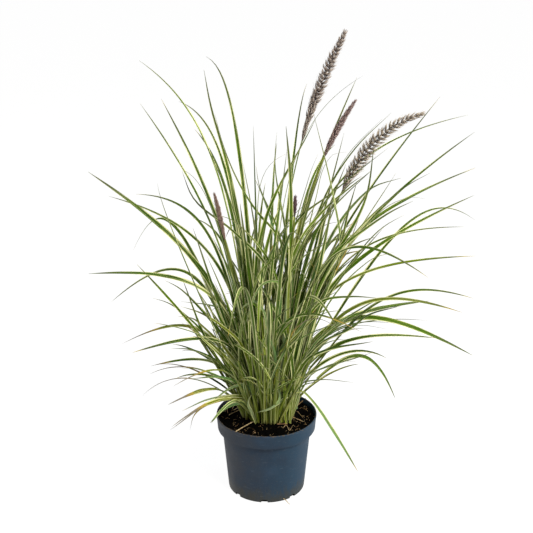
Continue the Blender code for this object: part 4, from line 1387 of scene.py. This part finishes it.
def add_tuft(stock, rng, centre, tangent, out, size, opening, length):
    """One tuft: its bristles bow out from one foot round a spikelet and close again
    towards the tuft's tip."""
    open_foot, open_tip = (math.radians(a * size**2 * opening + rng.uniform(-6, 6)) for a in (54, 38))
    low = tangent * math.cos(open_foot) + out * math.sin(open_foot)
    high = tangent * math.cos(open_tip) + out * math.sin(open_tip)
    stray = np.where(rng.random((NEEDLES, 1)) < 0.10, 1.0, 0.0)
    bow = rng.normal(0, 1.05 * size * MM * (0.15 + 0.85 * opening), (NEEDLES, 3))
    foot = centre + out * 0.7 * MM + 0.25 * bow
    middle = centre + out * 0.7 * MM + low * length * 0.5 + bow * (1 + 0.6 * stray)
    reach = length * rng.uniform(0.38, 0.56, (NEEDLES, 1)) * (1 + 0.35 * stray)
    tip = middle + high * reach - bow * (0.6 - 1.2 * stray)
    radius = rng.uniform(0.12, 0.18, NEEDLES) * MM
    add_needles(stock, foot, middle, tip, radius, rng.random(NEEDLES))
    add_spikelet(stock, centre + out * 0.5 * MM, low, 0.5 * length)


def add_tufts(stock, path, start, radius, fullest, rng):
    """Tufts in rings round the spike, each ring turned half a step."""
    size = math.sqrt(radius / SPIKE_RADIUS)
    last = path.length - 7 * MM
    rings = int((last - start) / (TUFT_GAP * size))
    for k in range(rings):
        distance = start + (k + 0.3) * (last - start) / rings
        share = (distance - start) / (path.length - start)
        (centre,), (side,), (under,) = path.read(distance)
        for i in range(TUFTS):
            angle = 2 * math.pi * (i + 0.5 * (k % 2)) / TUFTS + rng.uniform(-0.25, 0.25)
            out = math.cos(angle) * side + math.sin(angle) * under
            length = TUFT_LENGTH * size * (1 - 0.4 * share**2) * rng.uniform(0.85, 1.12)
            opening = spike_body(share, fullest)
            add_tuft(stock, rng, centre, np.cross(under, side), out, size, opening, length)


def build_spike(name, path, start, radius, fullest, finish, rng):
    """One bottlebrush spike: its rachis, spikelets and bristles."""
    stock = Stock()
    marks = np.linspace(start, path.length - 1 * MM, 24)
    skin = sweep(*path.read(marks), round_section(np.linspace(1.2, 0.35, 24) * MM, 7))
    stock.add(*skin, share=0.1, tone=0.3)
    add_tufts(stock, path, start, radius, fullest, rng)
    settle(stock.make(f"plume_{name}", finish), "spike", f"spike_{name}")


def build_stalk(name, path, start, end, neck, finish, rng):
    """A round stalk with a joint; under a young spike it is still wrapped in a sheath."""
    stock = Stock()
    rings, spots = 40, 10
    marks = np.linspace(start, end, rings)
    share = np.linspace(0, 1, rings)
    swell = np.maximum(0, share - 0.5) / 0.5
    joint = 0.5 * np.exp(-(((share - 0.35) / 0.012) ** 2))
    radii = STALK_RADIUS + (neck - STALK_RADIUS) * swell**0.7 + joint
    if neck > WRAPPED_NECK:
        radii[-1] *= 0.8
    stock.add(
        *sweep(*path.read(marks), round_section(radii * MM, spots, 0.85)),
        across=np.tile(np.arange(spots) / spots, rings),
        along=np.repeat(marks, spots),
        share=np.repeat(share, spots),
        tone=rng.random(),
        dry=0.45 if neck > WRAPPED_NECK else 0.15,
        under=0.5,
    )
    settle(stock.make(f"stem_{name}", finish), "stalk", f"stalk_{name}")


def build_flowers(stalk_finish, rng):
    """Each flower: its stalk, and its spike in bristles of its own colours."""
    for name, (*route, spike, radius, neck, fullest) in FLOWERS.items():
        path = strand(*route)
        foot = path.length - spike * MM
        start = shoot_length(route[3]) - 2 * MM
        build_stalk(name, path, start, foot + 1 * MM, neck, stalk_finish, rng)
        build_spike(name, path, foot, radius, fullest, dry_bristle(*BRISTLES[name]), rng)


# ---------------------------------------------------------------- studio


def build_camera():
    """The photograph's viewing angle: from the front, 20 degrees down."""
    camera = bpy.data.objects.new("camera", bpy.data.cameras.new("camera"))
    camera.location = CAMERA
    camera.rotation_euler = (math.pi / 2 - PITCH, 0.0, 0.0)
    camera.data.lens = LENS
    camera.data.sensor_width = SENSOR
    bpy.context.scene.collection.objects.link(camera)
    bpy.context.scene.camera = camera


def add_light(name, location, target, width, height, power, colour):
    light = bpy.data.lights.new(name, "AREA")
    light.shape, light.size, light.size_y = "RECTANGLE", width, height
    light.energy, light.color = power, linear(colour)[:3]
    lamp = bpy.data.objects.new(name, light)
    lamp.location = location
    lamp.rotation_euler = (Vector(target) - Vector(location)).to_track_quat("-Z", "Y").to_euler()
    bpy.context.scene.collection.objects.link(lamp)


def build_studio():
    """A white floor, pale grey air and soft lights, the key from the right front."""
    world = bpy.data.worlds.new("studio_air")
    world.use_nodes = True
    air = world.node_tree.nodes["Background"]
    air.inputs["Color"].default_value = linear("FFFFFF")
    air.inputs["Strength"].default_value = 0.42
    bpy.context.scene.world = world
    stock = Stock()
    corners = [(-1, -1, 0), (1, -1, 0), (1, 1, 0), (-1, 1, 0)]
    stock.add(STUDIO_REACH * np.array(corners, float), [(0, 1, 2, 3)], [])
    floor = stock.make("studio_floor", pale_floor())
    floor.location.z = -0.3 * MM
    floor.visible_diffuse = False  # no light is thrown up, as in the photograph
    floor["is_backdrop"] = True
    add_light("key", (1.5, -1.7, 2.3), (0, 0, 0.35), 1.3, 1.3, 98, "FFF8EC")
    add_light("soft_left", (-1.9, -0.9, 1.3), (0, 0, 0.3), 1.2, 1.4, 10, "F4F7FF")
    add_light("edge_right", (1.6, 0.5, 0.5), (0, 0, 0.2), 0.7, 1.2, 12, "E4EEFF")
    view = bpy.context.scene.view_settings
    view.view_transform, view.look, view.exposure, view.gamma = "Standard", "None", 0.0, 1.0


def main():
    rng = np.random.default_rng(11)
    leaf, sheath, peat, straw = waxy_leaf(), ribbed_sheath(), damp_peat(), dry_straw()
    build_pot()
    build_soil(peat)
    build_crumbs(peat, rng)
    build_straws(straw, rng)
    build_weed()
    bundles = {name: Stock() for name in FILLS}
    build_shoots(bundles, sheath, rng)
    add_skirt(bundles, rng)
    build_named_leaves(leaf)
    build_seen_blades(leaf)
    build_lone_blades(leaf)
    for name, stock in bundles.items():
        settle(stock.make(f"fill_{name}", leaf), "leaf")
    build_flowers(sheath, rng)
    build_camera()
    build_studio()


main()
boxes = {"cad": cad_box, "visual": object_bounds()}
{key: [[float(v) for v in corner] for corner in box] for key, box in boxes.items()}
